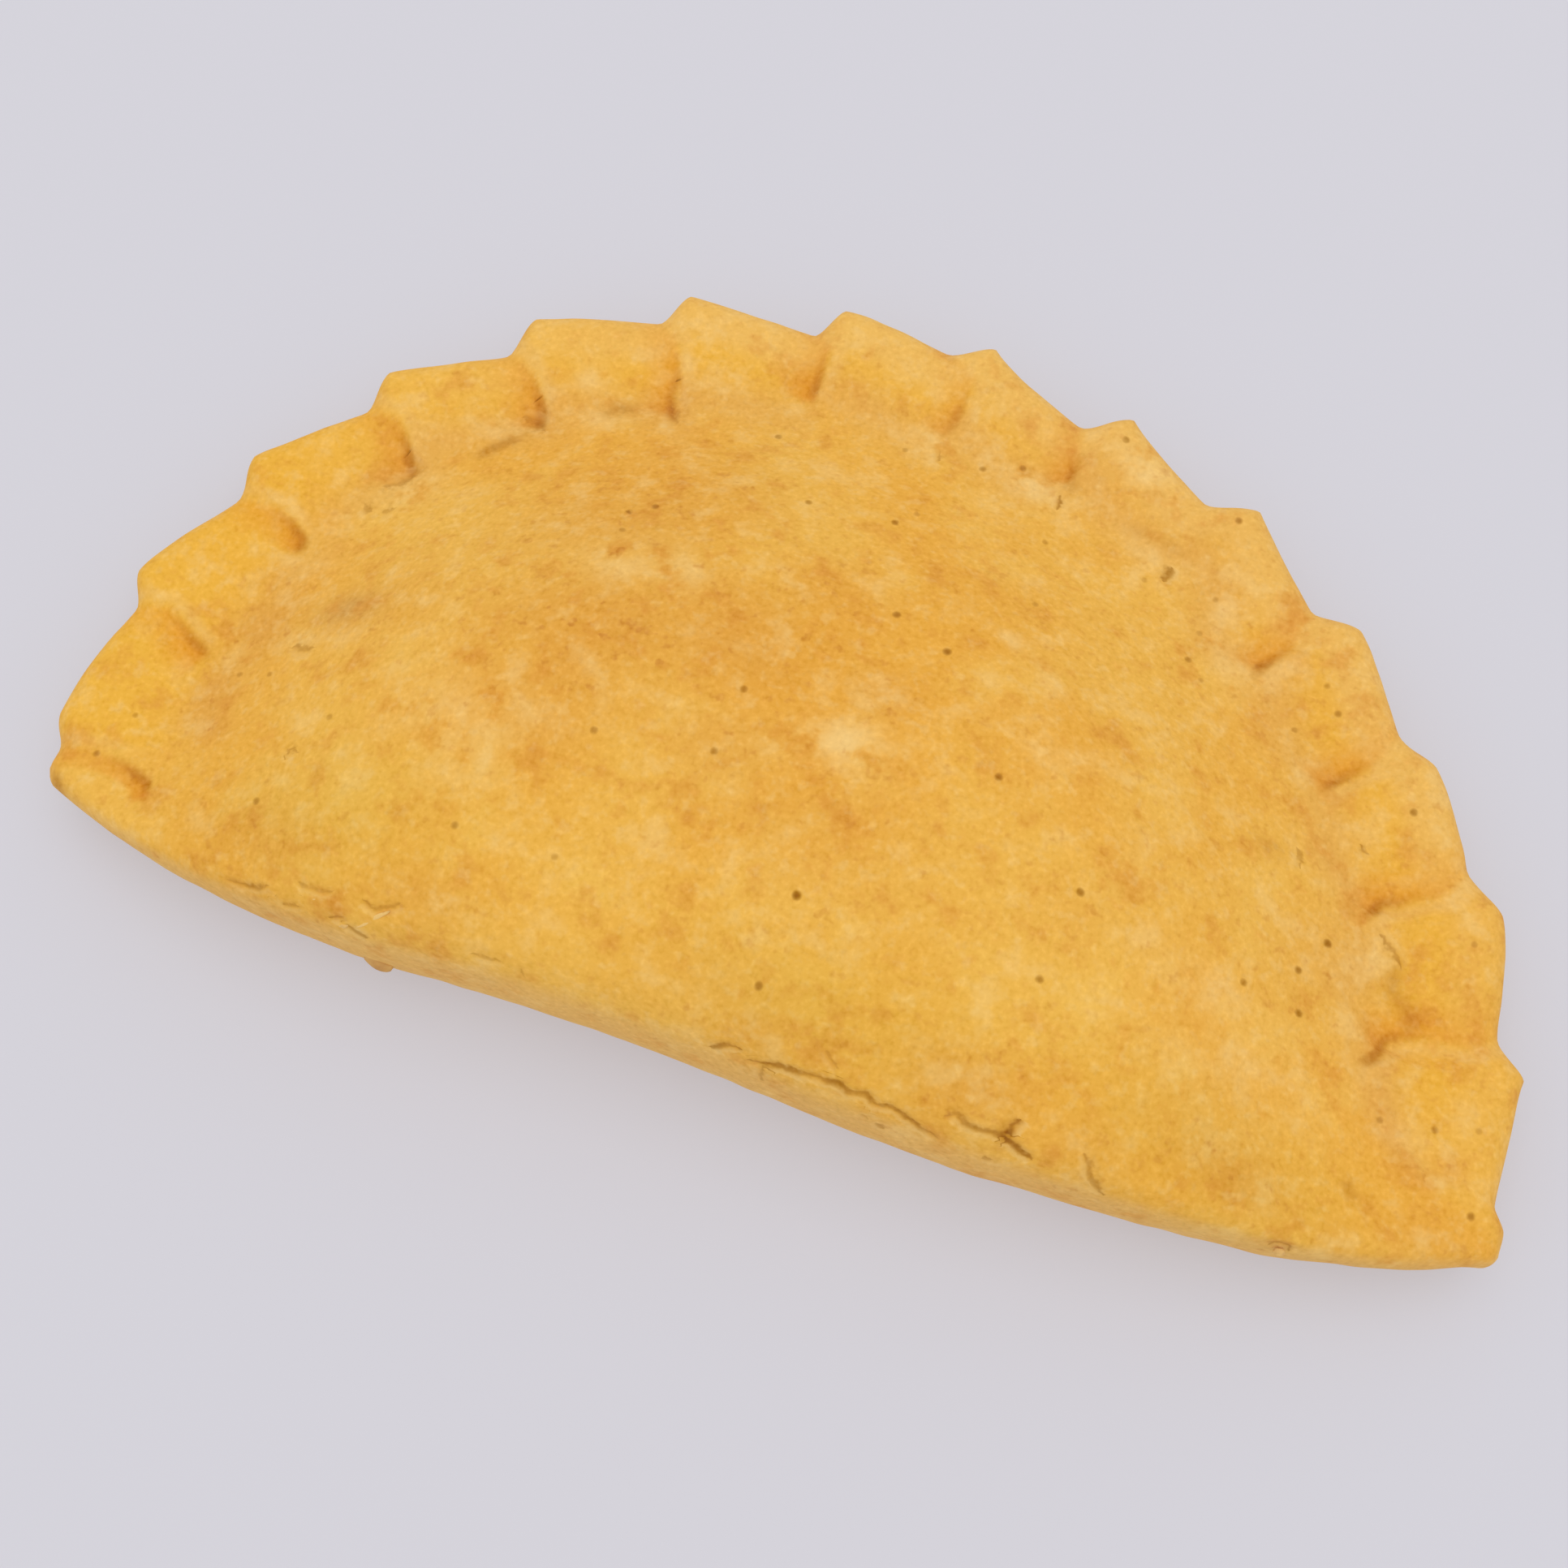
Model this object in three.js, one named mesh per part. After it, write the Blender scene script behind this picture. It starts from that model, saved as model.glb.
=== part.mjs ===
// An empanada: one disc of dough folded over its filling, with the curved edge pinched into overlapping
// pleats and a cracked shoulder along the fold. Millimetres, +Z up, resting on its flat underside, with
// the straight fold towards -Y. The plan is laid out from the middle of the line between the corners.
import * as THREE from "three";

// Curved edge
const CREST_X = -3.5; // where the edge lies furthest from the fold
const CREST_BLEND = 25; // half the length over which the left quarter's fullness turns into the right's
const CREST_Y = 77.8; // corner line to the furthest point of the edge
const LEFT_REACH = 74.6; // crest to the left corner, along the fold
const RIGHT_REACH = 78.2; // crest to the right corner, along the fold
const LEFT_FULLNESS = 2.27; // exponent of the left quarter, where 2 is a true ellipse
const RIGHT_FULLNESS = 2.0; // exponent of the right quarter

// Fold
const FOLD_BULGE = 7.4; // how far the fold stands out past the corner line
const LEFT_FOLD_FLATNESS = 4.2; // the higher, the straighter the left half of the fold
const RIGHT_FOLD_FLATNESS = 6.8; // the same for its right half
const RIGHT_FOLD_TAPER = 1.55; // above 1 where the fold runs out evenly to the right corner
const FOLD_WAVE = 0.75; // slow wave along the fold
const FOLD_WAVE_RUN = 13; // run of one radian of that wave
const FOLD_WAVE_START = 3.7; // where the wave starts to stand out, from the middle of the corner line
const NOSE_HEIGHT = 12; // height of the foremost point of the fold
const NOSE_FADE = 25; // distance over which that height falls back to the seam's

// Pinched rim
const RIM_WIDTH = 10.5; // outer edge to the foot of the filled body
const RIM_MIDDLE = 6.5; // height of the middle of the rim's thickness
const RIM_THICKNESS = 5.6; // the two layers of dough pressed together
const EDGE_ROUND = 3; // how far in the rounding of the outer edge reaches
const FIRST_TIP = 6.8; // left corner to the first tip, along the edge
const FIRST_PLEAT = 17.4; // width of the first pleat
const PLEAT_SHRINK = 0.08; // how much narrower each pleat is than the one before
const CORNER_PLEAT = { stand: 0, notch: 2.2, at: 0.72, bend: 1 }; // the pleat that the left corner cuts
// How far each pleat's tip stands out past the edge's line, how deep the notch after it lies behind that
// line, the share of the pleat's width where the notch is, and a bend above 1 where the side bulges out.
// Climb is the share of the way from the notch to the next tip where that tip's stand is reached, if below 1.
const PLEATS = [
  { stand: -0.3, notch: 1.25, at: 0.78, bend: 2.6 },
  { stand: 0.85, notch: 1.75, at: 0.71, bend: 1.5 },
  { stand: 0.45, notch: 2.4, at: 0.73, bend: 1.1 },
  { stand: 0, notch: 2.85, at: 0.74, bend: 1 },
  { stand: 0.2, notch: 1.95, at: 0.78, bend: 1 },
  { stand: 1.05, notch: 2.05, at: 0.82, bend: 1 },
  { stand: 1.3, notch: 0.85, at: 0.7, bend: 1.8 },
  { stand: 1.45, notch: 2.8, at: 0.7, bend: 0.8 },
  { stand: 0.65, notch: 2.8, at: 0.69, bend: 0.8 },
  { stand: 0.65, notch: 2.95, at: 0.7, bend: 0.9 },
  { stand: -0.2, notch: 2.65, at: 0.7, bend: 1.3 },
  { stand: -0.9, notch: 1.5, at: 0.66, bend: 3 },
  { stand: 0.55, notch: 1.65, at: 0.74, bend: 1.4 },
  { stand: 0.55, notch: 1.6, at: 0.8, bend: 0.8, climb: 0.65 },
  { stand: -0.3, notch: 0.8, at: 0.82, bend: 3 },
];
const CLIMB_START = 0.1; // share of the way to the next tip that stays at the bottom of the notch
const CREASE_PHASE = 0.72; // share of a pleat's width that the leans of the creases are counted from
const STEP_HEIGHT = 1.2; // how far a pleat's ridge stands above the valley of the deepest crease
const STEP_MIDDLE = 0.55; // lift of a pleat at the rim's own height
const STEP_FADE = 3.5; // distance over which the steps run out at the inner end of the creases
const EDGE_LIFT = 0.45; // share of the steps that is left at the outer edge
const EDGE_LIFT_RUN = 6; // distance over which those steps run out on the underside
const PIT_GAP = 1.2; // valley to ridge where both end in a crease's pit
const CORNER_BLEND = 16; // length beside a corner over which the pleats turn towards the body
const CORNER_FADE = 3; // length beside a corner over which the steps run out
// The crease at the end of each pleat, from the one that the left corner cuts: how deep it is, how far in
// from the edge it reaches and how far along the edge it leans
const CREASES = [
  { strength: 0.7, reach: 12.1, lean: 0.9 },
  { strength: 0.75, reach: 10.7, lean: 0.3 },
  { strength: 0.8, reach: 10.8, lean: 0 },
  { strength: 1, reach: 11.1, lean: 0.8 },
  { strength: 1, reach: 11.9, lean: 1.5 },
  { strength: 0.8, reach: 14, lean: 3 },
  { strength: 0.9, reach: 11.7, lean: 3.2 },
  { strength: 0.4, reach: 12.5, lean: 4 },
  { strength: 0.9, reach: 9.8, lean: 2.5 },
  { strength: 0.3, reach: 8.7, lean: 1.7 },
  { strength: 0.9, reach: 12.4, lean: 2.4 },
  { strength: 0.55, reach: 13.6, lean: 3.4 },
  { strength: 0.85, reach: 15.2, lean: 3.5 },
  { strength: 1, reach: 16.4, lean: 4.5 },
  { strength: 0.25, reach: 12, lean: 2 },
  { strength: 0, reach: 10, lean: 0 },
];

// Filled body
const HEIGHT = 28; // height that the crown would have clear of the roundings at the fold and the rim
const CENTRE_X = -2; // the point that the rows of the surface run out from
const CENTRE_Y = 30;
const CROWN_SHARE = 1; // share of the way in from the rim's foot where the body reaches its full height
const FOLD_ROUND = 36; // run of the rounding from the fold's nose up to the full height
const LUMP_HEIGHT = 0.45; // soft lumps of the filling under the dough
// The slow waves that the lumps are made of: the run of one radian along X and along Y, and a phase
const LUMP_WAVES = [
  { x: 8, y: 17, phase: 0 },
  { x: -23, y: 7, phase: 0 },
  { x: 13, y: -11, phase: 2 },
];

// Cracks along the shoulder of the fold
const CRACK_DEPTH = 1.1;
const CRACK_INSET = 3.4; // crack to the outer edge of the fold
const CRACK_WANDER = 0.7; // how far the crack strays from that line
const CRACK_WANDER_RUN = 3.1; // run of one radian of its short bends
const CRACK_DRIFT_RUN = 7.3; // run of one radian of the slow wave that makes the bends uneven
const CRACK_HALF_WIDTH = 0.5;
const CRACK_TAPER = 4; // length over which a crack runs out at each end
// Where each crack starts and ends along the fold, and its share of the full depth
const CRACKS = [
  { from: -54, to: -31, strength: 0.6 },
  { from: -6, to: 39, strength: 1 },
];

// Underside
const FOLD_UNDER_ROUND = 14; // run of the rounding from the fold's nose down to the base
const RIM_UNDER_RUN = 22; // run of the slope from the rim down to the base
const RIM_UNDER_POWER = 1.6;

// Fineness of the surface
const FALL_SHARES = [0, 0.17, 0.39, 0.64, 0.86]; // columns from a pleat's tip to its notch
const CLIMB_SHARES = [0, 0.36, 0.71]; // columns from the notch to the next tip
const FOLD_COLUMNS = 44;
const CORNER_GAP = 0.5; // columns keep this far from the corners' own
const BODY_ROWS = 10;
const INNER_RIM_SHARES = [0.16, 0.32, 0.5]; // rows from the foot of the rim to the cracks
const OUTER_RIM_SHARES = [0.84, 0.95, 1]; // rows from the cracks to the outer edge
const UNDER_ROWS = 9;
const UNDER_SPACING = 1.8; // the higher, the closer the rows of the underside lie to the edge
const BASE_ROWS = 5;

const CRUST_COLOUR = "#e7ae50";
const CRUST_ROUGHNESS = 0.82;

const { clamp, lerp, smoothstep } = THREE.MathUtils;

// The line that the pleat tips lie about, from the left corner over the crest to the right corner
class CurvedEdge extends THREE.Curve {
  getPoint(t, target = new THREE.Vector3()) {
    const across = Math.cos(Math.PI * t);
    const back = Math.max(Math.sin(Math.PI * t), 0);
    const reach = across > 0 ? LEFT_REACH : RIGHT_REACH;
    const power = 2 / (across > 0 ? LEFT_FULLNESS : RIGHT_FULLNESS);
    const x = CREST_X - Math.sign(across) * reach * Math.abs(across) ** power;
    return target.set(x, CREST_Y * back ** power, 0);
  }
}

const edge = new CurvedEdge();
edge.arcLengthDivisions = 2000;
const edgeLength = edge.getLength();
const cornerPhase = 1 - FIRST_TIP / FIRST_PLEAT;
const leftCornerX = CREST_X - LEFT_REACH + notchDepth(cornerPhase, -1);
const rightCornerX = CREST_X + RIGHT_REACH;

// 0 at the middle of the fold, -1 and 1 at its corners
function alongFold(x) {
  const middle = (leftCornerX + rightCornerX) / 2;
  return clamp((x - middle) / (rightCornerX - middle), -1, 1);
}

// Foremost line of the fold
function foldLine(x) {
  const along = alongFold(x);
  const left = 1 - Math.abs(along) ** LEFT_FOLD_FLATNESS;
  const right = (1 - Math.abs(along) ** RIGHT_FOLD_FLATNESS) ** RIGHT_FOLD_TAPER;
  const wave = FOLD_WAVE * Math.sin((x - FOLD_WAVE_START) / FOLD_WAVE_RUN) * (1 - along ** 2);
  return -(along < 0 ? left : right) * (FOLD_BULGE + wave);
}

// How far a point of the rim lies behind the edge's line: the long side of a pleat falls back from its
// tip and levels out in the notch, and the short side comes out again, half eased, to the next tip
function notchDepth(phase, pleat) {
  const { stand, notch, at, bend, climb = 1 } = PLEATS[pleat] ?? CORNER_PLEAT;
  if (phase <= at) {
    const fall = (phase / at) ** bend;
    return lerp(-stand, notch, (fall + Math.sin((Math.PI / 2) * fall)) / 2);
  }
  const next = PLEATS[pleat + 1]?.stand ?? 0;
  const share = clamp(((phase - at) / (1 - at) - CLIMB_START) / (climb - CLIMB_START), 0, 1);
  return lerp(notch, -next, (share + smoothstep(share, 0, 1)) / 2);
}

// Distance along the curved edge from the left corner, for a phase of a pleat
function edgeDistance(pleat, phase) {
  const tip = FIRST_TIP + pleat * FIRST_PLEAT - (pleat * (pleat - 1) / 2) * PLEAT_SHRINK;
  return tip + phase * (FIRST_PLEAT - pleat * PLEAT_SHRINK);
}

// Distance along the curved edge of the pit that a crease ends in
function pitDistance(crease) {
  return edgeDistance(crease - 1, CREASE_PHASE) + CREASES[crease].lean;
}

// Distance along the curved edge of the notch that a crease starts in
function notchDistance(crease) {
  return edgeDistance(crease - 1, (PLEATS[crease - 1] ?? CORNER_PLEAT).at);
}

// How far in the creases reach, evenly between one crease and the next
function creaseReach(distance) {
  const next = CREASES.findIndex((crease, i) => pitDistance(i) > distance);
  if (next <= 0) {
    return CREASES.at(next).reach;
  }
  const share = (distance - pitDistance(next - 1)) / (pitDistance(next) - pitDistance(next - 1));
  return lerp(CREASES[next - 1].reach, CREASES[next].reach, share);
}

// 1 on a pleat's ridge, from where the pleat falls evenly to the valley of its crease and climbs again to
// the next ridge; the valley runs in from the notch and the ridge from the next tip, both to the pit
function pleatLift(distance, inset) {
  let behind = edgeDistance(-1, 0);
  for (const [i, { strength, reach }] of CREASES.entries()) {
    const share = clamp(inset / reach, 0, 1);
    const valley = lerp(notchDistance(i), pitDistance(i), share);
    const ridge = lerp(edgeDistance(i - 1, 1), pitDistance(i) + PIT_GAP, share);
    if (distance < valley) {
      return 1 - (strength * (distance - behind)) / (valley - behind);
    }
    if (distance < ridge) {
      return 1 - strength * (1 - smoothstep(distance, valley, ridge));
    }
    behind = ridge;
  }
  return 1;
}

// Height of the overlapping pleats over the rim's own level
function pleatStep(column, inset) {
  const end = creaseReach(column.distance);
  const fade = (1 - smoothstep(inset, end - STEP_FADE / 2, end + STEP_FADE / 2)) * column.pleated;
  return STEP_HEIGHT * (pleatLift(column.distance, inset) - STEP_MIDDLE) * fade;
}

// Column of the surface on the curved edge
function rimColumn(pleat, phase) {
  const distance = edgeDistance(pleat, phase);
  const u = clamp(distance / edgeLength, 0, 1);
  const tip = edge.getPointAt(u);
  const tangent = edge.getTangentAt(u);
  const inward = new THREE.Vector3(tangent.y, -tangent.x, 0);
  const toCentre = new THREE.Vector3(CENTRE_X, CENTRE_Y, 0).sub(tip).normalize();
  const fromCorner = Math.min(distance, edgeLength - distance);
  inward.lerp(toCentre, 1 - smoothstep(fromCorner, 0, CORNER_BLEND)).normalize();
  const outer = tip.clone().addScaledVector(inward, notchDepth(phase, pleat));
  const inner = tip.clone().addScaledVector(inward, RIM_WIDTH);
  const fold = 0.5 * (1 - smoothstep(fromCorner, 0, CORNER_BLEND));
  return { outer, inner, distance, fold, pleated: smoothstep(fromCorner, 0, CORNER_FADE) };
}

// Column of the surface on the fold, from the right corner back to the left
function foldColumn(t) {
  const x = lerp(rightCornerX, leftCornerX, t);
  const outer = new THREE.Vector3(x, foldLine(x), 0);
  const toCentre = new THREE.Vector3(CENTRE_X, CENTRE_Y, 0).sub(outer).normalize();
  const inner = outer.clone().addScaledVector(toCentre, RIM_WIDTH);
  const fromCorner = Math.min(x - leftCornerX, rightCornerX - x);
  const fold = 0.5 + 0.5 * smoothstep(fromCorner, 0, CORNER_BLEND);
  return { outer, inner, distance: 0, fold, pleated: 0 };
}

function makeColumns() {
  const columns = [];
  columns.push(rimColumn(-1, cornerPhase));
  for (let pleat = -1; pleat < PLEATS.length; pleat += 1) {
    const { at } = PLEATS[pleat] ?? CORNER_PLEAT;
    const falling = FALL_SHARES.map((share) => share * at);
    const climbing = CLIMB_SHARES.map((share) => lerp(at, 1, share));
    for (const phase of [...falling, ...climbing]) {
      const distance = edgeDistance(pleat, phase);
      if (distance > CORNER_GAP && distance < edgeLength - CORNER_GAP) {
        columns.push(rimColumn(pleat, phase));
      }
    }
  }
  for (let i = 0; i < FOLD_COLUMNS; i += 1) {
    columns.push(foldColumn(i / FOLD_COLUMNS));
  }
  return columns;
}

// Middle of the dough's thickness at the edge: the nose of the fold rides higher than the rim
function seamHeight(x, y) {
  const near = clamp(1 - (y - foldLine(x)) / NOSE_FADE, 0, 1) ** 2;
  const middle = 1 - alongFold(x) ** 4;
  return RIM_MIDDLE + (NOSE_HEIGHT - RIM_MIDDLE) * near * middle;
}

// Half the rim's thickness, rounded off over the last stretch to the outer edge
function halfThickness(inset) {
  const out = 1 - Math.min(inset / EDGE_ROUND, 1);
  return (RIM_THICKNESS / 2) * Math.sqrt(1 - out * out);
}

// Swelling of the filled body: it rises softly from the foot of the rim and roundly from the fold's nose
function swelling(x, y) {
  const side = smoothstep(x, CREST_X - CREST_BLEND, CREST_X + CREST_BLEND);
  const fullness = lerp(LEFT_FULLNESS, RIGHT_FULLNESS, side);
  const reach = (x < CREST_X ? LEFT_REACH : RIGHT_REACH) - RIM_WIDTH;
  const across = Math.abs(x - CREST_X) / reach;
  const back = Math.max(y, 0) / (CREST_Y - RIM_WIDTH);
  const fromRim = clamp(1 - across ** fullness - back ** fullness, 0, 1);
  const toFold = 1 - clamp((y - foldLine(x)) / FOLD_ROUND, 0, 1);
  const plump = smoothstep(fromRim, 0, CROWN_SHARE) * Math.sqrt(1 - toFold * toFold);
  const [long, cross, slow] = LUMP_WAVES.map((wave) => Math.sin(x / wave.x + y / wave.y + wave.phase));
  const lumps = long * cross + slow;
  const crown = HEIGHT - RIM_MIDDLE - RIM_THICKNESS / 2 - LUMP_HEIGHT;
  return crown * plump + LUMP_HEIGHT * lumps * plump;
}

// Groove of the cracks, for a point of the fold at a distance in from its outer edge
function crackGroove(x, inset) {
  const bends = Math.sin(x / CRACK_WANDER_RUN) * Math.cos(x / CRACK_DRIFT_RUN);
  const centre = CRACK_INSET + CRACK_WANDER * bends;
  const beside = clamp(1 - Math.abs(inset - centre) / CRACK_HALF_WIDTH, 0, 1);
  let open = 0;
  for (const { from, to, strength } of CRACKS) {
    const ends = smoothstep(x, from, from + CRACK_TAPER) * (1 - smoothstep(x, to - CRACK_TAPER, to));
    open = Math.max(open, strength * ends);
  }
  return CRACK_DEPTH * open * beside;
}

// Point of the upper surface; share runs from 0 at the foot of the rim to 1 at the outer edge
function rimTop(column, share) {
  const point = column.inner.clone().lerp(column.outer, share);
  const inset = (1 - share) * column.inner.distanceTo(column.outer);
  const pleats = pleatStep(column, inset) * lerp(EDGE_LIFT, 1, halfThickness(inset) / (RIM_THICKNESS / 2));
  point.z = seamHeight(point.x, point.y) + halfThickness(inset) + swelling(point.x, point.y);
  point.z += column.fold >= 0.5 ? -crackGroove(point.x, inset) : pleats;
  return point;
}

// Point of the upper surface; share runs from 0 at the centre to 1 at the foot of the rim
function bodyTop(column, share) {
  const point = new THREE.Vector3(CENTRE_X, CENTRE_Y, 0).lerp(column.inner, share);
  const inset = column.inner.distanceTo(column.outer) + point.distanceTo(column.inner);
  point.z = seamHeight(point.x, point.y) + RIM_THICKNESS / 2 + swelling(point.x, point.y);
  point.z += pleatStep(column, inset);
  return point;
}

// Point of the underside at a distance in from the outer edge, flat on the base further in
function underside(column, inset) {
  const rim = column.inner.distanceTo(column.outer);
  const toCentre = new THREE.Vector3(CENTRE_X, CENTRE_Y, 0).sub(column.inner).normalize();
  const point = column.outer.clone().lerp(column.inner, Math.min(inset / rim, 1));
  point.addScaledVector(toCentre, Math.max(inset - rim, 0));
  const edgeHeight = seamHeight(column.outer.x, column.outer.y);
  const lift = EDGE_LIFT * pleatStep(column, 0) * (1 - smoothstep(inset, 0, EDGE_LIFT_RUN));
  const lowered = edgeHeight - halfThickness(inset) + lift;
  const foldOut = 1 - Math.min(inset / FOLD_UNDER_ROUND, 1);
  const rimOut = 1 - Math.min(inset / RIM_UNDER_RUN, 1);
  const foldShare = 1 - Math.sqrt(1 - foldOut * foldOut);
  const rimShare = rimOut ** RIM_UNDER_POWER;
  point.z = lowered * lerp(rimShare, foldShare, column.fold);
  return point;
}

// Rows of points from the crown over the edge to the middle of the base, each row running clockwise
// seen from above; the first and last rows are single points
function makeRows(columns) {
  const rows = [[bodyTop(columns[0], 0)]];
  for (let i = 1; i <= BODY_ROWS; i += 1) {
    rows.push(columns.map((column) => bodyTop(column, Math.sin((Math.PI / 2) * (i / BODY_ROWS)))));
  }
  const crackShare = 1 - CRACK_INSET / RIM_WIDTH;
  const crackGap = CRACK_HALF_WIDTH / RIM_WIDTH;
  const crackShares = [crackShare - crackGap, crackShare, crackShare + crackGap];
  for (const share of [...INNER_RIM_SHARES, ...crackShares, ...OUTER_RIM_SHARES]) {
    rows.push(columns.map((column) => rimTop(column, share)));
  }
  for (let i = 1; i <= UNDER_ROWS; i += 1) {
    const inset = RIM_UNDER_RUN * (i / UNDER_ROWS) ** UNDER_SPACING;
    rows.push(columns.map((column) => underside(column, inset)));
  }
  const baseEdge = rows[rows.length - 1];
  const baseCentre = new THREE.Vector3(CENTRE_X, CENTRE_Y, 0);
  for (let i = 1; i < BASE_ROWS; i += 1) {
    rows.push(baseEdge.map((point) => point.clone().lerp(baseCentre, i / BASE_ROWS)));
  }
  rows.push([baseCentre]);
  return rows;
}

// Closed surface through the rows, with a fan of triangles at its first and last points
function closedSurface(rows) {
  const width = rows[1].length;
  const points = rows.flat();
  const last = points.length - 1;
  const index = [];
  for (let i = 0; i < width; i += 1) {
    const next = (i + 1) % width;
    index.push(0, 1 + next, 1 + i);
    for (let row = 1; row < rows.length - 2; row += 1) {
      const here = 1 + (row - 1) * width;
      const below = here + width;
      index.push(here + i, here + next, below + i);
      index.push(here + next, below + next, below + i);
    }
    const base = last - width;
    index.push(base + i, base + next, last);
  }
  const geometry = new THREE.BufferGeometry().setFromPoints(points);
  geometry.setIndex(index);
  return geometry;
}

const geometry = closedSurface(makeRows(makeColumns()));
geometry.computeBoundingBox();
const middle = geometry.boundingBox.getCenter(new THREE.Vector3());
geometry.translate(-middle.x, -middle.y, -geometry.boundingBox.min.z);
geometry.computeVertexNormals();

const crust = new THREE.MeshStandardMaterial({
  color: CRUST_COLOUR,
  roughness: CRUST_ROUGHNESS,
  metalness: 0,
});
const empanada = new THREE.Mesh(geometry, crust);
empanada.name = "empanada";

const part = new THREE.Group();
part.add(empanada);

export default part;
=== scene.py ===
"""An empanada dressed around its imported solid: the modelled crust, its loose flakes, floor, light and camera.

The shape is laid out in millimetres on a plan whose origin is the middle of the line between the two
corners, with +X along the fold and +Y towards the pleated edge. Meshes are made in metres, in the frame of
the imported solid.
"""

import itertools
import logging
import math
from collections.abc import Callable
from dataclasses import astuple, dataclass, field
from typing import Union

import bpy
import numpy as np
from mathutils import Matrix, Vector

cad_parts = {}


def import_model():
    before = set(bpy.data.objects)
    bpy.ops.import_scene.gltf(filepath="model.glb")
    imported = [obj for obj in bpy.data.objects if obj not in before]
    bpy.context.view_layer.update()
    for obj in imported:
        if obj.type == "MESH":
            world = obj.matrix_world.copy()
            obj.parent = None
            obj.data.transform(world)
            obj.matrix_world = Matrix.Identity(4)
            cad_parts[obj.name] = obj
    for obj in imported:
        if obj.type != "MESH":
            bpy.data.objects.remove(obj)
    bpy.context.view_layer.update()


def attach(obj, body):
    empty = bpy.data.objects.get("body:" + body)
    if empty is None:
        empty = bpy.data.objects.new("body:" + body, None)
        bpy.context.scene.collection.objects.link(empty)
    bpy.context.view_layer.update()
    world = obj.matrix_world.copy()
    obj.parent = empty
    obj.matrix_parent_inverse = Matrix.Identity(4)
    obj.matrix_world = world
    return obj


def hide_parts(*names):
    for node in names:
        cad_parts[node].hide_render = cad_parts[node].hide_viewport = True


LOG = logging.getLogger("empanada")
MM = 0.001
NODE = "empanada"
BODY = "root"
DRAW_PACE, DRAW_START, DRAW_SIZE = 12.9898, 4.1, 43758.5453
CELL_KEY = (1.0, 57.31, 113.77)
LEAST_LENGTH = 1e-9
SOFT_REACH = 0.9
MIX_FACTOR, MIX_UNDER, MIX_OVER, MIX_RESULT = 0, 6, 7, 2

Array = np.ndarray
Faces = list[list[int]]
Spot = tuple[float, float]
Place = tuple[float, float, float]
Display = tuple[int, int, int]
Tone = tuple[float, float, float, float]
Feed = Union["Shade", bpy.types.NodeSocket, float, tuple[float, ...]]


def smoothstep(value: Array, low: float, high: float) -> Array:
    """Eases from 0 at low to 1 at high: 3t² - 2t³, where t is the clamped share of the way."""
    t = np.clip((np.asarray(value, float) - low) / (high - low), 0.0, 1.0)
    return t * t * (3.0 - 2.0 * t)


def fade(value: Array, low: float, high: float) -> Array:
    """Eases from 1 at low to 0 at high."""
    return 1.0 - smoothstep(value, low, high)


def bell(distance: Array, width: float) -> Array:
    """A rounded hill of height 1 that falls off as exp(-(distance / width)²)."""
    return np.exp(-((np.asarray(distance, float) / width) ** 2))


def unit(vectors: Array) -> Array:
    """The vectors on the last axis, brought to length 1."""
    return vectors / np.maximum(np.linalg.norm(vectors, axis=-1, keepdims=True), LEAST_LENGTH)


def soft_mean(read: Callable[[float], Array], count: int) -> Array:
    """Mean of a function over offsets to both sides of 0, weighted by a half cosine.

    Args:
        read: The function of one offset.
        count: How many offsets are read.

    Returns:
        The weighted mean.
    """
    offsets = np.linspace(-SOFT_REACH, SOFT_REACH, count)
    weights = np.cos(offsets * np.pi / 2.0)
    return sum(weight * read(offset) for offset, weight in zip(offsets, weights)) / weights.sum()


def fixed_draw(number: Array) -> Array:
    """A fixed draw from -1 to 1 for each number: the loose digits of a large sine."""
    value = np.sin(np.asarray(number, float) * DRAW_PACE + DRAW_START) * DRAW_SIZE
    return 2.0 * (value - np.floor(value)) - 1.0


def lattice_noise(points: Array, seed: float) -> Array:
    """Smooth noise: a fixed draw at each whole-number corner, eased between the corners of a cell.

    Args:
        points: Places, with three coordinates on the last axis, in units of one cell.
        seed: Shifts the draws.

    Returns:
        Values from -1 to 1, one for each place.
    """
    cell = np.floor(points)
    ease = smoothstep(points - cell, 0.0, 1.0)
    total = np.zeros(points.shape[:-1])
    for corner in itertools.product((0.0, 1.0), repeat=3):
        offset = np.array(corner)
        weight = np.prod(np.where(offset > 0.5, ease, 1.0 - ease), axis=-1)
        total += weight * fixed_draw((cell + offset) @ np.array(CELL_KEY) + seed)
    return total


def path_side(places: Array, path: Array) -> tuple[Array, Array]:
    """Signed distance from each place to a bent line, and how far along the line that is.

    Args:
        places: Places with two coordinates on the last axis.
        path: The line's corner points, one a row.

    Returns:
        The distances, above 0 on the left of the line, and the shares of its length from 0 to 1.
    """
    lengths = np.linalg.norm(np.diff(path, axis=0), axis=1)
    starts = np.concatenate(([0.0], np.cumsum(lengths)))
    best = np.full(places.shape[:-1], np.inf)
    share = np.zeros(places.shape[:-1])
    for i, length in enumerate(lengths):
        run, away = path[i + 1] - path[i], places - path[i]
        along = np.clip((away @ run) / length**2, 0.0, 1.0)
        gap = np.linalg.norm(away - along[..., None] * run, axis=-1)
        left = run[0] * away[..., 1] - run[1] * away[..., 0] > 0.0
        nearer = gap < np.abs(best)
        best = np.where(nearer, np.where(left, gap, -gap), best)
        share = np.where(nearer, (starts[i] + along * length) / starts[-1], share)
    return best, share


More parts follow.
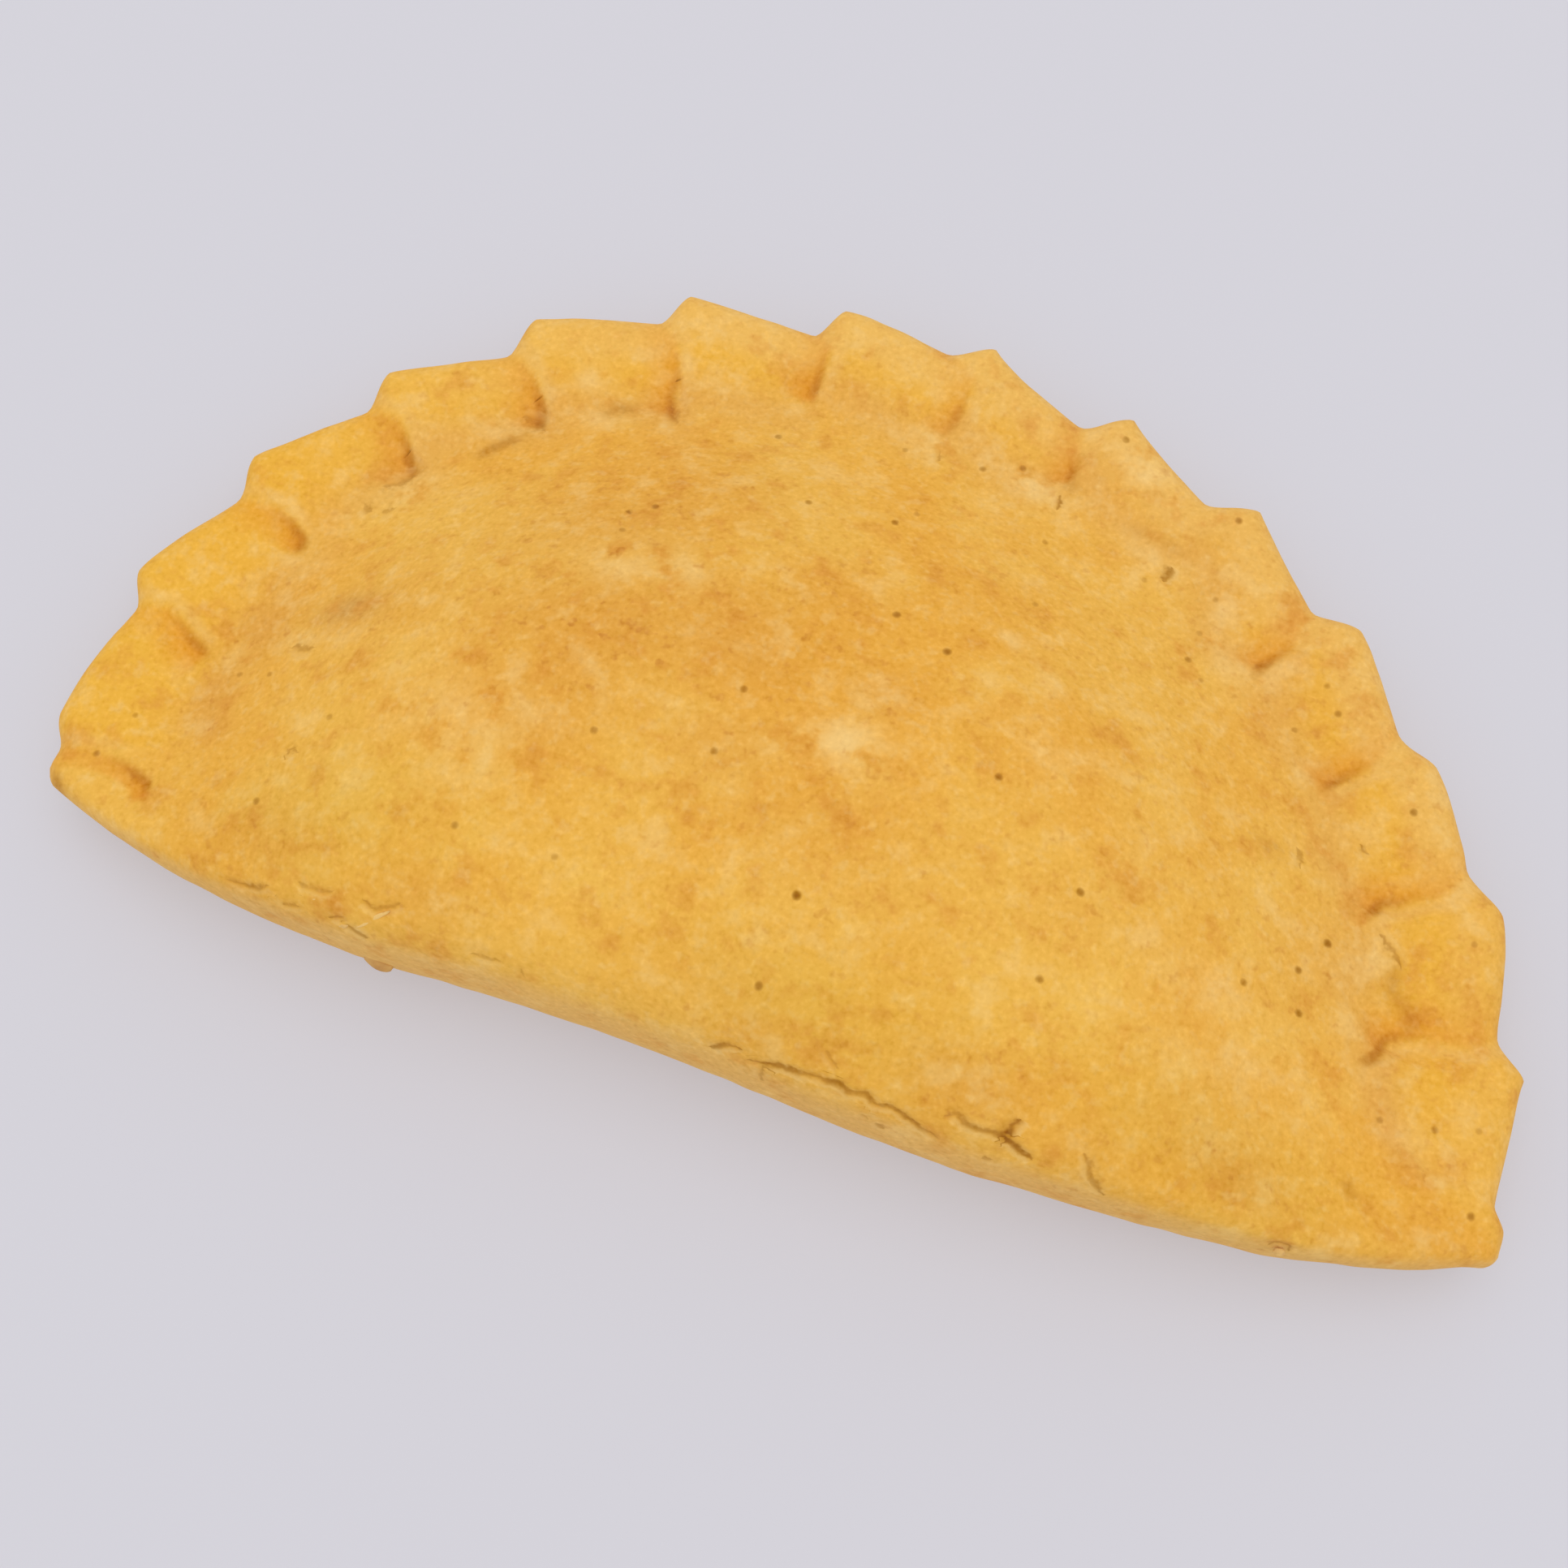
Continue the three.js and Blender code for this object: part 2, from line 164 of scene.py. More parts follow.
def ball_faces(rows: int, width: int, first: int = 0) -> Faces:
    """Quads between neighbouring rows of a closed surface, with a fan at each pole.

    Args:
        rows: Rows of points between the two poles.
        width: Points in a row, which run clockwise seen from outside the first pole.
        first: Number of the first pole's point.

    Returns:
        Faces that point outwards.
    """
    here = first + 1 + np.arange(width)
    ahead = np.roll(here, -1)
    start = np.arange(rows - 1)[:, None] * width
    corners = (start + here, start + ahead, start + width + ahead, start + width + here)
    down = (rows - 1) * width
    first_fan = np.stack((np.full(width, first), ahead, here), axis=-1)
    last_fan = np.stack((here + down, ahead + down, np.full(width, first + 1 + rows * width)), axis=-1)
    return first_fan.tolist() + np.stack(corners, axis=-1).reshape(-1, 4).tolist() + last_fan.tolist()


def add_piece(
    name: str, points: Array, faces: Faces, material: bpy.types.Material, stored: dict[str, Array]
) -> bpy.types.Object:
    """Adds a smooth-shaded mesh object to the scene.

    Args:
        name: Name of the mesh and the object.
        points: Its points in millimetres, one a row.
        faces: Its faces.
        material: Its material.
        stored: A number, or a row of three numbers, for each point, by attribute name.

    Returns:
        The new object.
    """
    mesh = bpy.data.meshes.new(name)
    mesh.from_pydata((points * MM).tolist(), [], faces)
    for key, values in stored.items():
        kind, part = ("FLOAT", "value") if values.ndim == 1 else ("FLOAT_VECTOR", "vector")
        mesh.attributes.new(key, kind, "POINT").data.foreach_set(part, values.astype(np.float32).ravel())
    mesh.shade_smooth()
    mesh.materials.append(material)
    piece = bpy.data.objects.new(name, mesh)
    bpy.context.scene.collection.objects.link(piece)
    return piece


def linear(colour: Display) -> Tone:
    """A display colour as linear light, by the usual curve of screens.

    Args:
        colour: Red, green and blue from 0 to 255.

    Returns:
        The shares of light, with full alpha.
    """
    channels = np.array(colour) / 255.0
    light = np.where(channels <= 0.04045, channels / 12.92, ((channels + 0.055) / 1.055) ** 2.4)
    return (*light.tolist(), 1.0)


def math_method(operation: str, swapped: bool = False) -> Callable[["Shade", Feed], "Shade"]:
    """Makes one arithmetic method of Shade.

    Args:
        operation: What its Math node does.
        swapped: Whether the other value comes first.

    Returns:
        The method, which adds the node and wraps its result.
    """

    def method(shade: "Shade", other: Feed = 0.0) -> "Shade":
        """Adds a Math node on two values.

        Args:
            shade: The value that the method belongs to.
            other: The other value.

        Returns:
            The wrapped result.
        """
        pair = (other, shade) if swapped else (shade, other)
        made = shade.book.node("ShaderNodeMath", {"operation": operation}, dict(enumerate(pair)))
        return Shade(shade.book, made.outputs[0])

    return method


@dataclass
class Shade:
    """A number on a shader socket of one node book; arithmetic on it adds Math nodes."""

    book: "NodeBook"
    socket: bpy.types.NodeSocket

    __add__, __radd__ = math_method("ADD"), math_method("ADD", swapped=True)
    __sub__, __rsub__ = math_method("SUBTRACT"), math_method("SUBTRACT", swapped=True)
    __mul__, __rmul__ = math_method("MULTIPLY"), math_method("MULTIPLY", swapped=True)
    __truediv__, __rtruediv__ = math_method("DIVIDE"), math_method("DIVIDE", swapped=True)
    __abs__ = math_method("ABSOLUTE")
    at_least, at_most = math_method("MAXIMUM"), math_method("MINIMUM")

    def clamped(self) -> "Shade":
        """The value, held between 0 and 1."""
        return self.at_least(0.0).at_most(1.0)

    def raised(self, least: float, gain: float) -> "Shade":
        """The value times a gain, on top of a least value."""
        return least + gain * self

    def eased(self, low: float, high: float) -> "Shade":
        """Eases the value between two ends.

        Args:
            low: Where the result is 0.
            high: Where the result is 1.

        Returns:
            The eased share of the way from low to high.
        """
        ends = {"From Min": low, "From Max": high, "To Min": 0.0, "To Max": 1.0}
        made = self.book.node(
            "ShaderNodeMapRange", {"interpolation_type": "SMOOTHSTEP"}, {"Value": self, **ends}
        )
        return Shade(self.book, made.outputs["Result"])


@dataclass(frozen=True)
class Clouds:
    """Cloudy noise: the size of its largest blotches, its finer layers, how strong they are, and a shift."""

    size_mm: float
    detail: float
    roughness: float
    shift: float


class NodeBook:
    """Makes and links the nodes of one material."""

    def __init__(self, name: str) -> None:
        """Starts an empty node material.

        Args:
            name: Its name.
        """
        self.material = bpy.data.materials.new(name)
        self.material.use_nodes = True
        self.tree = self.material.node_tree
        self.tree.nodes.clear()
        self.coordinates = self.node("ShaderNodeTexCoord", {}, {}).outputs["Object"]

    def node(self, kind: str, settings: dict[str, object], inputs: dict[str | int, Feed]) -> bpy.types.Node:
        """Adds one node.

        Args:
            kind: The node's type.
            settings: Properties, which are set first.
            inputs: Values or links, by socket name or number.

        Returns:
            The new node.
        """
        made = self.tree.nodes.new(kind)
        for name, value in settings.items():
            setattr(made, name, value)
        for name, value in inputs.items():
            source = value.socket if isinstance(value, Shade) else value
            if isinstance(source, bpy.types.NodeSocket):
                self.tree.links.new(source, made.inputs[name])
            else:
                made.inputs[name].default_value = source
        return made

    def attribute(self, name: str) -> Shade:
        """A number stored on the piece's own points."""
        return Shade(self, self.node("ShaderNodeAttribute", {"attribute_name": name}, {}).outputs["Fac"])

    def parts(self, name: str) -> tuple[Shade, ...]:
        """A vector stored on the piece's own points.

        Args:
            name: The attribute's name.

        Returns:
            Its three numbers.
        """
        stored = self.node("ShaderNodeAttribute", {"attribute_name": name}, {}).outputs["Vector"]
        split = self.node("ShaderNodeSeparateXYZ", {}, {"Vector": stored})
        return tuple(Shade(self, socket) for socket in split.outputs)

    def noise(self, clouds: Clouds) -> Shade:
        """Cloudy noise in the piece's own space.

        Args:
            clouds: Its sizes.

        Returns:
            Values from 0 to 1.
        """
        terms = {0: self.coordinates, 1: (clouds.shift, -clouds.shift, 2.0 * clouds.shift)}
        place = self.node("ShaderNodeVectorMath", {"operation": "ADD"}, terms).outputs["Vector"]
        scale = 1.0 / (clouds.size_mm * MM)
        sizes = {"Scale": scale, "Detail": clouds.detail, "Roughness": clouds.roughness}
        made = self.node("ShaderNodeTexNoise", {"noise_dimensions": "3D"}, {"Vector": place, **sizes})
        return Shade(self, made.outputs["Fac"])

    def mix(self, factor: Feed, under: Feed, over: Feed, blend: str = "MIX") -> bpy.types.NodeSocket:
        """Lays one colour over another.

        Args:
            factor: How much of the upper colour shows.
            under: The lower colour.
            over: The upper colour.
            blend: How they combine.

        Returns:
            The mixed colour's socket.
        """
        settings = {"data_type": "RGBA", "blend_type": blend, "clamp_factor": True}
        feeds = {MIX_FACTOR: factor, MIX_UNDER: under, MIX_OVER: over}
        return self.node("ShaderNodeMix", settings, feeds).outputs[MIX_RESULT]

    def shaded(self, inputs: dict[str | int, Feed]) -> bpy.types.Material:
        """Ends the material with a Principled shader.

        Args:
            inputs: The shader's values and links.

        Returns:
            The material.
        """
        shader = self.node("ShaderNodeBsdfPrincipled", {}, inputs)
        self.node("ShaderNodeOutputMaterial", {}, {"Surface": shader.outputs["BSDF"]})
        return self.material


@dataclass(frozen=True)
class Pleat:
    """Outline of one pleat, in millimetres.

    The tip stands out past the edge's line. The notch after it lies at a depth behind that line and at a
    share of the pleat's width. The bend is above 1 where the side from the tip to the notch bulges out. The
    climb is the share of the way from the notch to the next tip where that tip's stand is reached.
    """

    stand: float
    notch: float
    at: float
    bend: float
    climb: float = 1.0


PLEATS = (
    Pleat(-0.3, 1.25, 0.78, 2.6),
    Pleat(0.85, 1.75, 0.71, 1.5),
    Pleat(0.45, 2.4, 0.73, 1.1),
    Pleat(0.0, 2.85, 0.74, 1.0),
    Pleat(0.2, 1.95, 0.78, 1.0),
    Pleat(1.05, 2.05, 0.82, 1.0),
    Pleat(1.3, 0.85, 0.7, 1.8),
    Pleat(1.45, 2.8, 0.7, 0.8),
    Pleat(0.65, 2.8, 0.69, 0.8),
    Pleat(0.65, 2.95, 0.7, 0.9),
    Pleat(-0.2, 2.65, 0.7, 1.3),
    Pleat(-0.9, 1.5, 0.66, 3.0),
    Pleat(0.55, 1.65, 0.74, 1.4),
    Pleat(0.55, 1.6, 0.8, 0.8, 0.65),
    Pleat(-0.3, 0.8, 0.82, 3.0),
)


@dataclass(frozen=True)
class PastryForm:
    """The pastry's main sizes in millimetres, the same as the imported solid's."""

    crest_x: float = -3.5
    crest_y: float = 77.8
    crest_blend: float = 25.0
    left_reach: float = 74.6
    right_reach: float = 78.2
    left_fullness: float = 2.27
    right_fullness: float = 2.0
    fold_bulge: float = 7.4
    left_fold_flatness: float = 4.2
    right_fold_flatness: float = 6.8
    right_fold_taper: float = 1.55
    fold_wave: float = 0.75
    fold_wave_run: float = 13.0
    fold_wave_start: float = 3.7
    nose_height: float = 12.0
    nose_fade: float = 25.0
    nose_flatness: int = 4
    rim_width: float = 10.5
    rim_middle: float = 6.5
    rim_thickness: float = 5.6
    edge_round: float = 3.0
    first_tip: float = 6.8
    first_pleat: float = 17.4
    pleat_shrink: float = 0.08
    corner_pleat: Pleat = Pleat(0.0, 2.2, 0.72, 1.0)
    pleats: tuple[Pleat, ...] = PLEATS
    climb_start: float = 0.1
    crease_phase: float = 0.72
    step_middle: float = 0.55
    corner_blend: float = 16.0
    height: float = 28.0
    centre: Spot = (-2.0, 30.0)
    crown_share: float = 1.0
    fold_round: float = 36.0
    lump_height: float = 0.45
    lump_waves: tuple[Place, ...] = ((8.0, 17.0, 0.0), (-23.0, 7.0, 0.0), (13.0, -11.0, 2.0))
    fold_under_round: float = 14.0
    rim_under_run: float = 22.0
    rim_under_power: float = 1.6

    @property
    def left_corner(self) -> float:
        """Plan x of the left corner, in the notch before the first tip."""
        phase = np.array([1.0 - self.first_tip / self.first_pleat])
        return self.crest_x - self.left_reach + float(self.notch_depth(phase, np.array([-1]))[0])

    @property
    def right_corner(self) -> float:
        """Plan x of the right corner."""
        return self.crest_x + self.right_reach

    def notch_depth(self, phase: Array, pleat: Array) -> Array:
        """How far the outline lies behind the edge's line.

        The long side of a pleat falls back from its tip as a bent share of the way, half of it as it is and
        half as a sine, and levels out in the notch; the short side comes out again, half eased, to the next
        tip.

        Args:
            phase: Share of the pleat that is passed.
            pleat: The pleat's number, from -1 for the one that the left corner cuts.

        Returns:
            Depths, below 0 where a tip stands out.
        """
        sizes = self.pleat_sizes()
        tips = -np.append(sizes[0], 0.0)
        tip, following = tips[pleat + 1], tips[pleat + 2]
        _, notch, at, bend, reached = sizes[:, pleat + 1]
        fall = np.minimum(phase / at, 1.0) ** bend
        fall = (fall + np.sin(np.pi / 2.0 * fall)) / 2.0
        climb = (phase - at) / (1.0 - at)
        climb = np.clip((climb - self.climb_start) / (reached - self.climb_start), 0.0, 1.0)
        climb = (climb + smoothstep(climb, 0.0, 1.0)) / 2.0
        return np.where(phase <= at, tip + (notch - tip) * fall, notch + (following - notch) * climb)

    def pleat_sizes(self) -> Array:
        """Stands, notch depths, notch places, bends and climbs of all pleats, from the cut one on."""
        return np.array([astuple(pleat) for pleat in (self.corner_pleat, *self.pleats)]).T

    def edge_point(self, turn: Array) -> Array:
        """The line that the pleat tips lie about: two quarter superellipses that meet at the crest.

        Args:
            turn: 0 at the left corner, 1 at the right.

        Returns:
            Plan places, two coordinates on the last axis.
        """
        across = np.cos(np.pi * turn)
        back = np.maximum(np.sin(np.pi * turn), 0.0)
        left = across > 0.0
        reach = np.where(left, self.left_reach, self.right_reach)
        power = 2.0 / np.where(left, self.left_fullness, self.right_fullness)
        x = self.crest_x - np.sign(across) * reach * np.abs(across) ** power
        return np.stack((x, self.crest_y * back**power), axis=-1)

    def along_fold(self, x: Array) -> Array:
        """0 at the middle of the fold, -1 and 1 at its corners."""
        middle = (self.left_corner + self.right_corner) / 2.0
        return np.clip((x - middle) / (self.right_corner - middle), -1.0, 1.0)

    def fold_line(self, x: Array) -> Array:
        """Foremost line of the fold: a flat-topped bulge, tapered to the right corner, with one slow wave.

        Args:
            x: Plan x.

        Returns:
            Plan y, 0 at the corners and below 0 between them.
        """
        along = self.along_fold(x)
        left = 1.0 - np.abs(along) ** self.left_fold_flatness
        right = (1.0 - np.abs(along) ** self.right_fold_flatness) ** self.right_fold_taper
        wave = self.fold_wave * np.sin((x - self.fold_wave_start) / self.fold_wave_run) * (1.0 - along**2)
        return -np.where(along < 0.0, left, right) * (self.fold_bulge + wave)

    def seam_height(self, x: Array, y: Array) -> Array:
        """Middle of the dough's thickness: the rim's height, raised towards the nose of the fold.

        Args:
            x: Plan x.
            y: Plan y.

        Returns:
            Heights.
        """
        near = np.clip(1.0 - (y - self.fold_line(x)) / self.nose_fade, 0.0, 1.0) ** 2
        lift = (self.nose_height - self.rim_middle) * near * (1.0 - self.along_fold(x) ** self.nose_flatness)
        return self.rim_middle + lift

    def half_thickness(self, inset: Array) -> Array:
        """Half the rim's thickness: a quarter ellipse over the last stretch to the outer edge."""
        out = 1.0 - np.minimum(inset / self.edge_round, 1.0)
        return self.rim_thickness / 2.0 * np.sqrt(1.0 - out * out)

    def swelling(self, x: Array, y: Array) -> Array:
        """Swelling of the filled body: an eased rise from the rim, times a quarter ellipse from the fold.

        Args:
            x: Plan x.
            y: Plan y.

        Returns:
            Height over the rim, with soft lumps of filling.
        """
        side = smoothstep(x, self.crest_x - self.crest_blend, self.crest_x + self.crest_blend)
        fullness = self.left_fullness + (self.right_fullness - self.left_fullness) * side
        reach = np.where(x < self.crest_x, self.left_reach, self.right_reach) - self.rim_width
        across = np.abs(x - self.crest_x) / reach
        back = np.maximum(y, 0.0) / (self.crest_y - self.rim_width)
        from_rim = np.clip(1.0 - across**fullness - back**fullness, 0.0, 1.0)
        to_fold = 1.0 - np.clip((y - self.fold_line(x)) / self.fold_round, 0.0, 1.0)
        plump = smoothstep(from_rim, 0.0, self.crown_share) * np.sqrt(1.0 - to_fold**2)
        waves = [np.sin(x / run_x + y / run_y + start) for run_x, run_y, start in self.lump_waves]
        lumps = waves[0] * waves[1] + waves[2]
        crown = self.height - self.rim_middle - self.rim_thickness / 2.0 - self.lump_height
        return (crown + self.lump_height * lumps) * plump

    def plain_top(self, x: Array, y: Array, inset: Array) -> Array:
        """Height of the upper surface at a distance in from the outer edge, without pleats."""
        return self.seam_height(x, y) + self.half_thickness(inset) + self.swelling(x, y)


@dataclass
class Outline:
    """The columns of the surface grid: lines that run in from the outline towards the centre.

    They go clockwise seen from above, from the left corner along the pleats to the right corner and back
    along the fold. Tips and notches are distances along the curved edge. The middle is that of the box
    around the unblunted outline, which is the frame's origin; the fields after it hold one value a column.
    """

    form: PastryForm
    columns_a_pleat: int = 30
    crowding: float = 0.45
    crowded_phase: float = 0.9
    fold_columns: int = 300
    table_size: int = 6001
    slope_step: float = 1e-4
    notch_round: float = 0.25
    round_steps: int = 9
    corner_gap: float = 0.25
    corner_round: float = 1.5
    corner_round_run: float = 3.75
    corner_fade: float = 3.0
    turns: Array = field(init=False)
    lengths: Array = field(init=False)
    tips: Array = field(init=False)
    notches: Array = field(init=False)
    middle: Array = field(init=False)
    outer: Array = field(init=False)
    inner: Array = field(init=False)
    along: Array = field(init=False)
    fold: Array = field(init=False)
    pleated: Array = field(init=False)

    def __post_init__(self) -> None:
        """Measures the curved edge and lays out the columns on it and on the fold."""
        form = self.form
        self.turns = np.linspace(0.0, 1.0, self.table_size)
        steps = np.linalg.norm(np.diff(form.edge_point(self.turns), axis=0), axis=1)
        self.lengths = np.concatenate(([0.0], np.cumsum(steps)))
        numbers = np.arange(-1, len(form.pleats) + 1)
        shrink = numbers * (numbers - 1) / 2.0 * form.pleat_shrink
        self.tips = form.first_tip + numbers * form.first_pleat - np.where(numbers > 0, shrink, 0.0)
        self.notches = self.tips[:-1] + form.pleat_sizes()[2] * np.diff(self.tips)
        joined = [np.concatenate(pair) for pair in zip(self._rim_columns(), self._fold_columns())]
        self.outer, self.inner, self.along, self.fold, self.pleated = joined
        self.middle = (self.outer.min(axis=0) + self.outer.max(axis=0)) / 2.0
        self.outer = self._rounded(self.outer, len(self.outer) - self.fold_columns)

    @property
    def edge_length(self) -> float:
        """Length of the curved edge."""
        return float(self.lengths[-1])

    def to_centre(self, places: Array) -> Array:
        """Unit directions from plan places to the centre."""
        return unit(np.array(self.form.centre) - places)

    def notch_places(self) -> Array:
        """Where the notches lie on the blunted outline.

        Returns:
            Plan places, one a row.
        """
        rim = len(self.along) - self.fold_columns
        axes = [np.interp(self.notches, self.along[:rim], self.outer[:rim, axis]) for axis in (0, 1)]
        return np.stack(axes, axis=-1)

    def _depth(self, along: Array) -> Array:
        """How far the outline lies behind the edge's line.

        Args:
            along: Distances along the edge.

        Returns:
            Depths, below 0 where a tip stands out.
        """
        pleat = np.clip(np.searchsorted(self.tips, along, side="right") - 1, 0, len(self.tips) - 2)
        phase = np.clip((along - self.tips[pleat]) / np.diff(self.tips)[pleat], 0.0, 1.0)
        return self.form.notch_depth(phase, pleat - 1)

    def _rounded(self, outer: Array, right: int) -> Array:
        """Blunts the two corners: near them each place is the mean of the outline on both sides of it.

        Args:
            outer: The outline, which starts at the left corner.
            right: Number of the right corner's column.

        Returns:
            The outline with rounded corners.
        """
        steps = np.linalg.norm(np.roll(outer, -1, axis=0) - outer, axis=1)
        run = np.concatenate(([0.0], np.cumsum(steps)[:-1]))
        whole = float(steps.sum())
        gap = np.minimum.reduce((run, np.abs(run - run[right]), whole - run))
        stretch = self.corner_round * fade(gap, 0.0, self.corner_round_run)
        at = run + np.linspace(-1.0, 1.0, self.round_steps)[:, None] * stretch
        axes = [np.interp(at, run, outer[:, axis], period=whole).mean(axis=0) for axis in (0, 1)]
        return np.stack(axes, axis=-1)

    def _rim_columns(self) -> tuple[Array, ...]:
        """Columns along the pleats, crowded at the creases.

        Returns:
            Outer and inner plan places, distances along the edge, and shares of fold and pleats.
        """
        form = self.form
        spread = np.linspace(0.0, 1.0, self.columns_a_pleat, endpoint=False)
        offset = 2.0 * np.pi * (self.crowded_phase - 0.5)
        wave = np.sin(2.0 * np.pi * spread - offset) + math.sin(offset)
        phases = spread + self.crowding * wave / (2.0 * np.pi)
        along = (self.tips[:-1, None] + phases * np.diff(self.tips)[:, None]).ravel()
        along = along[(along > self.corner_gap) & (along < self.edge_length - self.corner_gap)]
        along = np.concatenate(([0.0], along))
        turn = np.interp(along, self.lengths, self.turns)
        tip = form.edge_point(turn)
        next_place = form.edge_point(np.minimum(turn + self.slope_step, 1.0))
        ahead = next_place - form.edge_point(np.maximum(turn - self.slope_step, 0.0))
        inward = unit(np.stack((ahead[:, 1], -ahead[:, 0]), axis=-1))
        from_corner = np.minimum(along, self.edge_length - along)
        turned = fade(from_corner, 0.0, form.corner_blend)
        inward = unit(inward + (self.to_centre(tip) - inward) * turned[:, None])
        depth = soft_mean(lambda slip: self._depth(along + slip * self.notch_round), self.round_steps)
        depth[0] = form.left_corner - (form.crest_x - form.left_reach)
        outer = tip + inward * depth[:, None]
        outer[0] = (form.left_corner, 0.0)
        inner = tip + inward * form.rim_width
        return outer, inner, along, 0.5 * turned, smoothstep(from_corner, 0.0, self.corner_fade)

    def _fold_columns(self) -> tuple[Array, ...]:
        """Columns along the fold, evenly spaced, from the right corner to the left.

        Returns:
            The same five arrays as for the rim.
        """
        form = self.form
        share = np.arange(self.fold_columns) / self.fold_columns
        x = form.right_corner + (form.left_corner - form.right_corner) * share
        outer = np.stack((x, form.fold_line(x)), axis=-1)
        inner = outer + self.to_centre(outer) * form.rim_width
        from_corner = np.minimum(x - form.left_corner, form.right_corner - x)
        fold = 0.5 + 0.5 * smoothstep(from_corner, 0.0, form.corner_blend)
        return outer, inner, np.zeros(len(x)), fold, np.zeros(len(x))


@dataclass(frozen=True)
class Crease:
    """Where one pleat dives under the next, in millimetres.

    The valley runs in from the notch and the ridge from the next tip, and both end in a small pit, which
    leans along the edge. The line is its visible edge on the plan, from the pit outwards, with painted orange
    shade on its left, where the dough dips into the crease.
    """

    strength: float
    reach: float
    lean: float = 0.0
    line: tuple[Spot, ...] = ()
    brown: float = 0.8
    crease_shade: float = 0.7
    spread: float = 5.0


@dataclass(frozen=True)
class Stroke:
    """A soft line on the plan, in millimetres, that is weaker towards its ends."""

    path: tuple[Spot, ...]
    width: float = 0.5
    strength: float = 0.7
    end_share: float = 0.4
    end_slope: float = 4.0

    def cover(self, x: Array, y: Array) -> Array:
        """How much of the line lies on each place: a bell across it, tapered at both ends.

        Args:
            x: Plan x of the places.
            y: Plan y of the places.

        Returns:
            Shares from 0 to 1.
        """
        gap, share = path_side(np.stack((x, y), axis=-1), np.array(self.path))
        taper = np.clip(self.end_share + self.end_slope * np.minimum(share, 1.0 - share), 0.0, 1.0)
        return self.strength * taper * bell(gap, self.width)


@dataclass(frozen=True)
class Crack:
    """An open crack in the crust: a bent line of places on the surface, in millimetres."""

    path: tuple[Place, ...]
    width: float = 0.3
    depth: float = 0.25
    dark: float = 0.85


@dataclass(frozen=True)
class Speck:
    """A fleck of bran on the plan, in millimetres, and how dark it is from 0 to 1."""

    x: float
    y: float
    radius: float
    strength: float


@dataclass(frozen=True)
class Patch:
    """A soft-edged spot on the plan, in millimetres, stretched along an angle in degrees."""

    x: float
    y: float
    radius: float
    strength: float = 1.0
    stretch: float = 1.0
    angle: float = 0.0

    @classmethod
    def rows(cls, *rows: tuple[float, ...]) -> tuple["Patch", ...]:
        """One spot from each row of values, in the order of the fields."""
        return tuple(cls(*row) for row in rows)

    def cover(self, x: Array, y: Array) -> Array:
        """How much of the spot lies on each place: a bell over a turned ellipse.

        Args:
            x: Plan x of the places.
            y: Plan y of the places.

        Returns:
            Shares from 0 to 1.
        """
        turn = math.radians(self.angle)
        along = (x - self.x) * math.cos(turn) + (y - self.y) * math.sin(turn)
        aside = (y - self.y) * math.cos(turn) - (x - self.x) * math.sin(turn)
        return self.strength * bell(np.hypot(along / self.stretch, aside), self.radius)


CREASES = (
    Crease(
        0.5, 12.1, 0.3, ((-63.7, 0.6), (-64.4, 2.2), (-66.4, 3.0), (-68.0, 3.4), (-70.9, 3.5)), 0.8, 0.75, 1.8
    ),
    Crease(0.75, 10.7, 0.3, ((-65.4, 17.5), (-67.5, 18.4), (-69.5, 19.8), (-71.0, 20.5)), 0.65),
    Crease(0.8, 10.8, 0.0, ((-61.0, 31.4), (-61.0, 32.7), (-62.6, 33.8), (-64.6, 34.7)), 0.6),
    Crease(1.0, 11.1, 0.8, ((-52.8, 43.6), (-54.1, 44.8), (-55.1, 46.3), (-57.0, 48.8)), 0.75),
    Crease(1.0, 11.9, 1.5, ((-42.5, 53.2), (-42.9, 54.8), (-43.8, 56.5), (-45.4, 58.4), (-47.4, 60.0)), 0.6),
    Crease(0.8, 14.0, 3.0, ((-28.7, 58.0), (-29.5, 59.4), (-30.6, 61.6), (-30.7, 64.1), (-32.0, 66.9)), 0.6),
    Crease(0.9, 11.7, 3.2, ((-16.1, 65.9), (-16.2, 67.8), (-16.2, 70.1), (-16.3, 72.0)), 0.7),
    Crease(0.4, 12.5, 4.0, ((-1.0, 66.2), (-0.5, 69.0), (-0.4, 72.5), (-0.3, 73.7)), 0.4, 0.45),
    Crease(0.9, 9.8, 2.5, ((13.0, 65.1), (12.9, 66.2), (13.0, 67.7)), 0.55),
    Crease(0.3, 8.7, 1.7),
    Crease(0.9, 12.4, 2.4, ((36.9, 49.7), (37.6, 51.0), (38.6, 52.8), (39.9, 54.6)), 0.7),
    Crease(0.55, 13.6, 3.4, ((46.6, 39.8), (47.9, 41.7), (49.5, 43.4), (50.9, 44.6)), 0.7),
    Crease(
        0.85, 15.2, 3.5,
        ((53.8, 28.2), (54.6, 29.6), (55.4, 30.9), (56.9, 31.4), (58.4, 32.5), (60.9, 33.7)), 0.75,
    ),
    Crease(
        1.0, 16.4, 4.5,
        ((56.9, 13.6), (58.1, 15.2), (59.0, 17.5), (60.7, 18.5), (62.5, 19.2), (66.3, 19.6)), 0.75,
    ),
    Crease(0.25, 12.0, 2.0),
    Crease(0.0, 10.0),
)
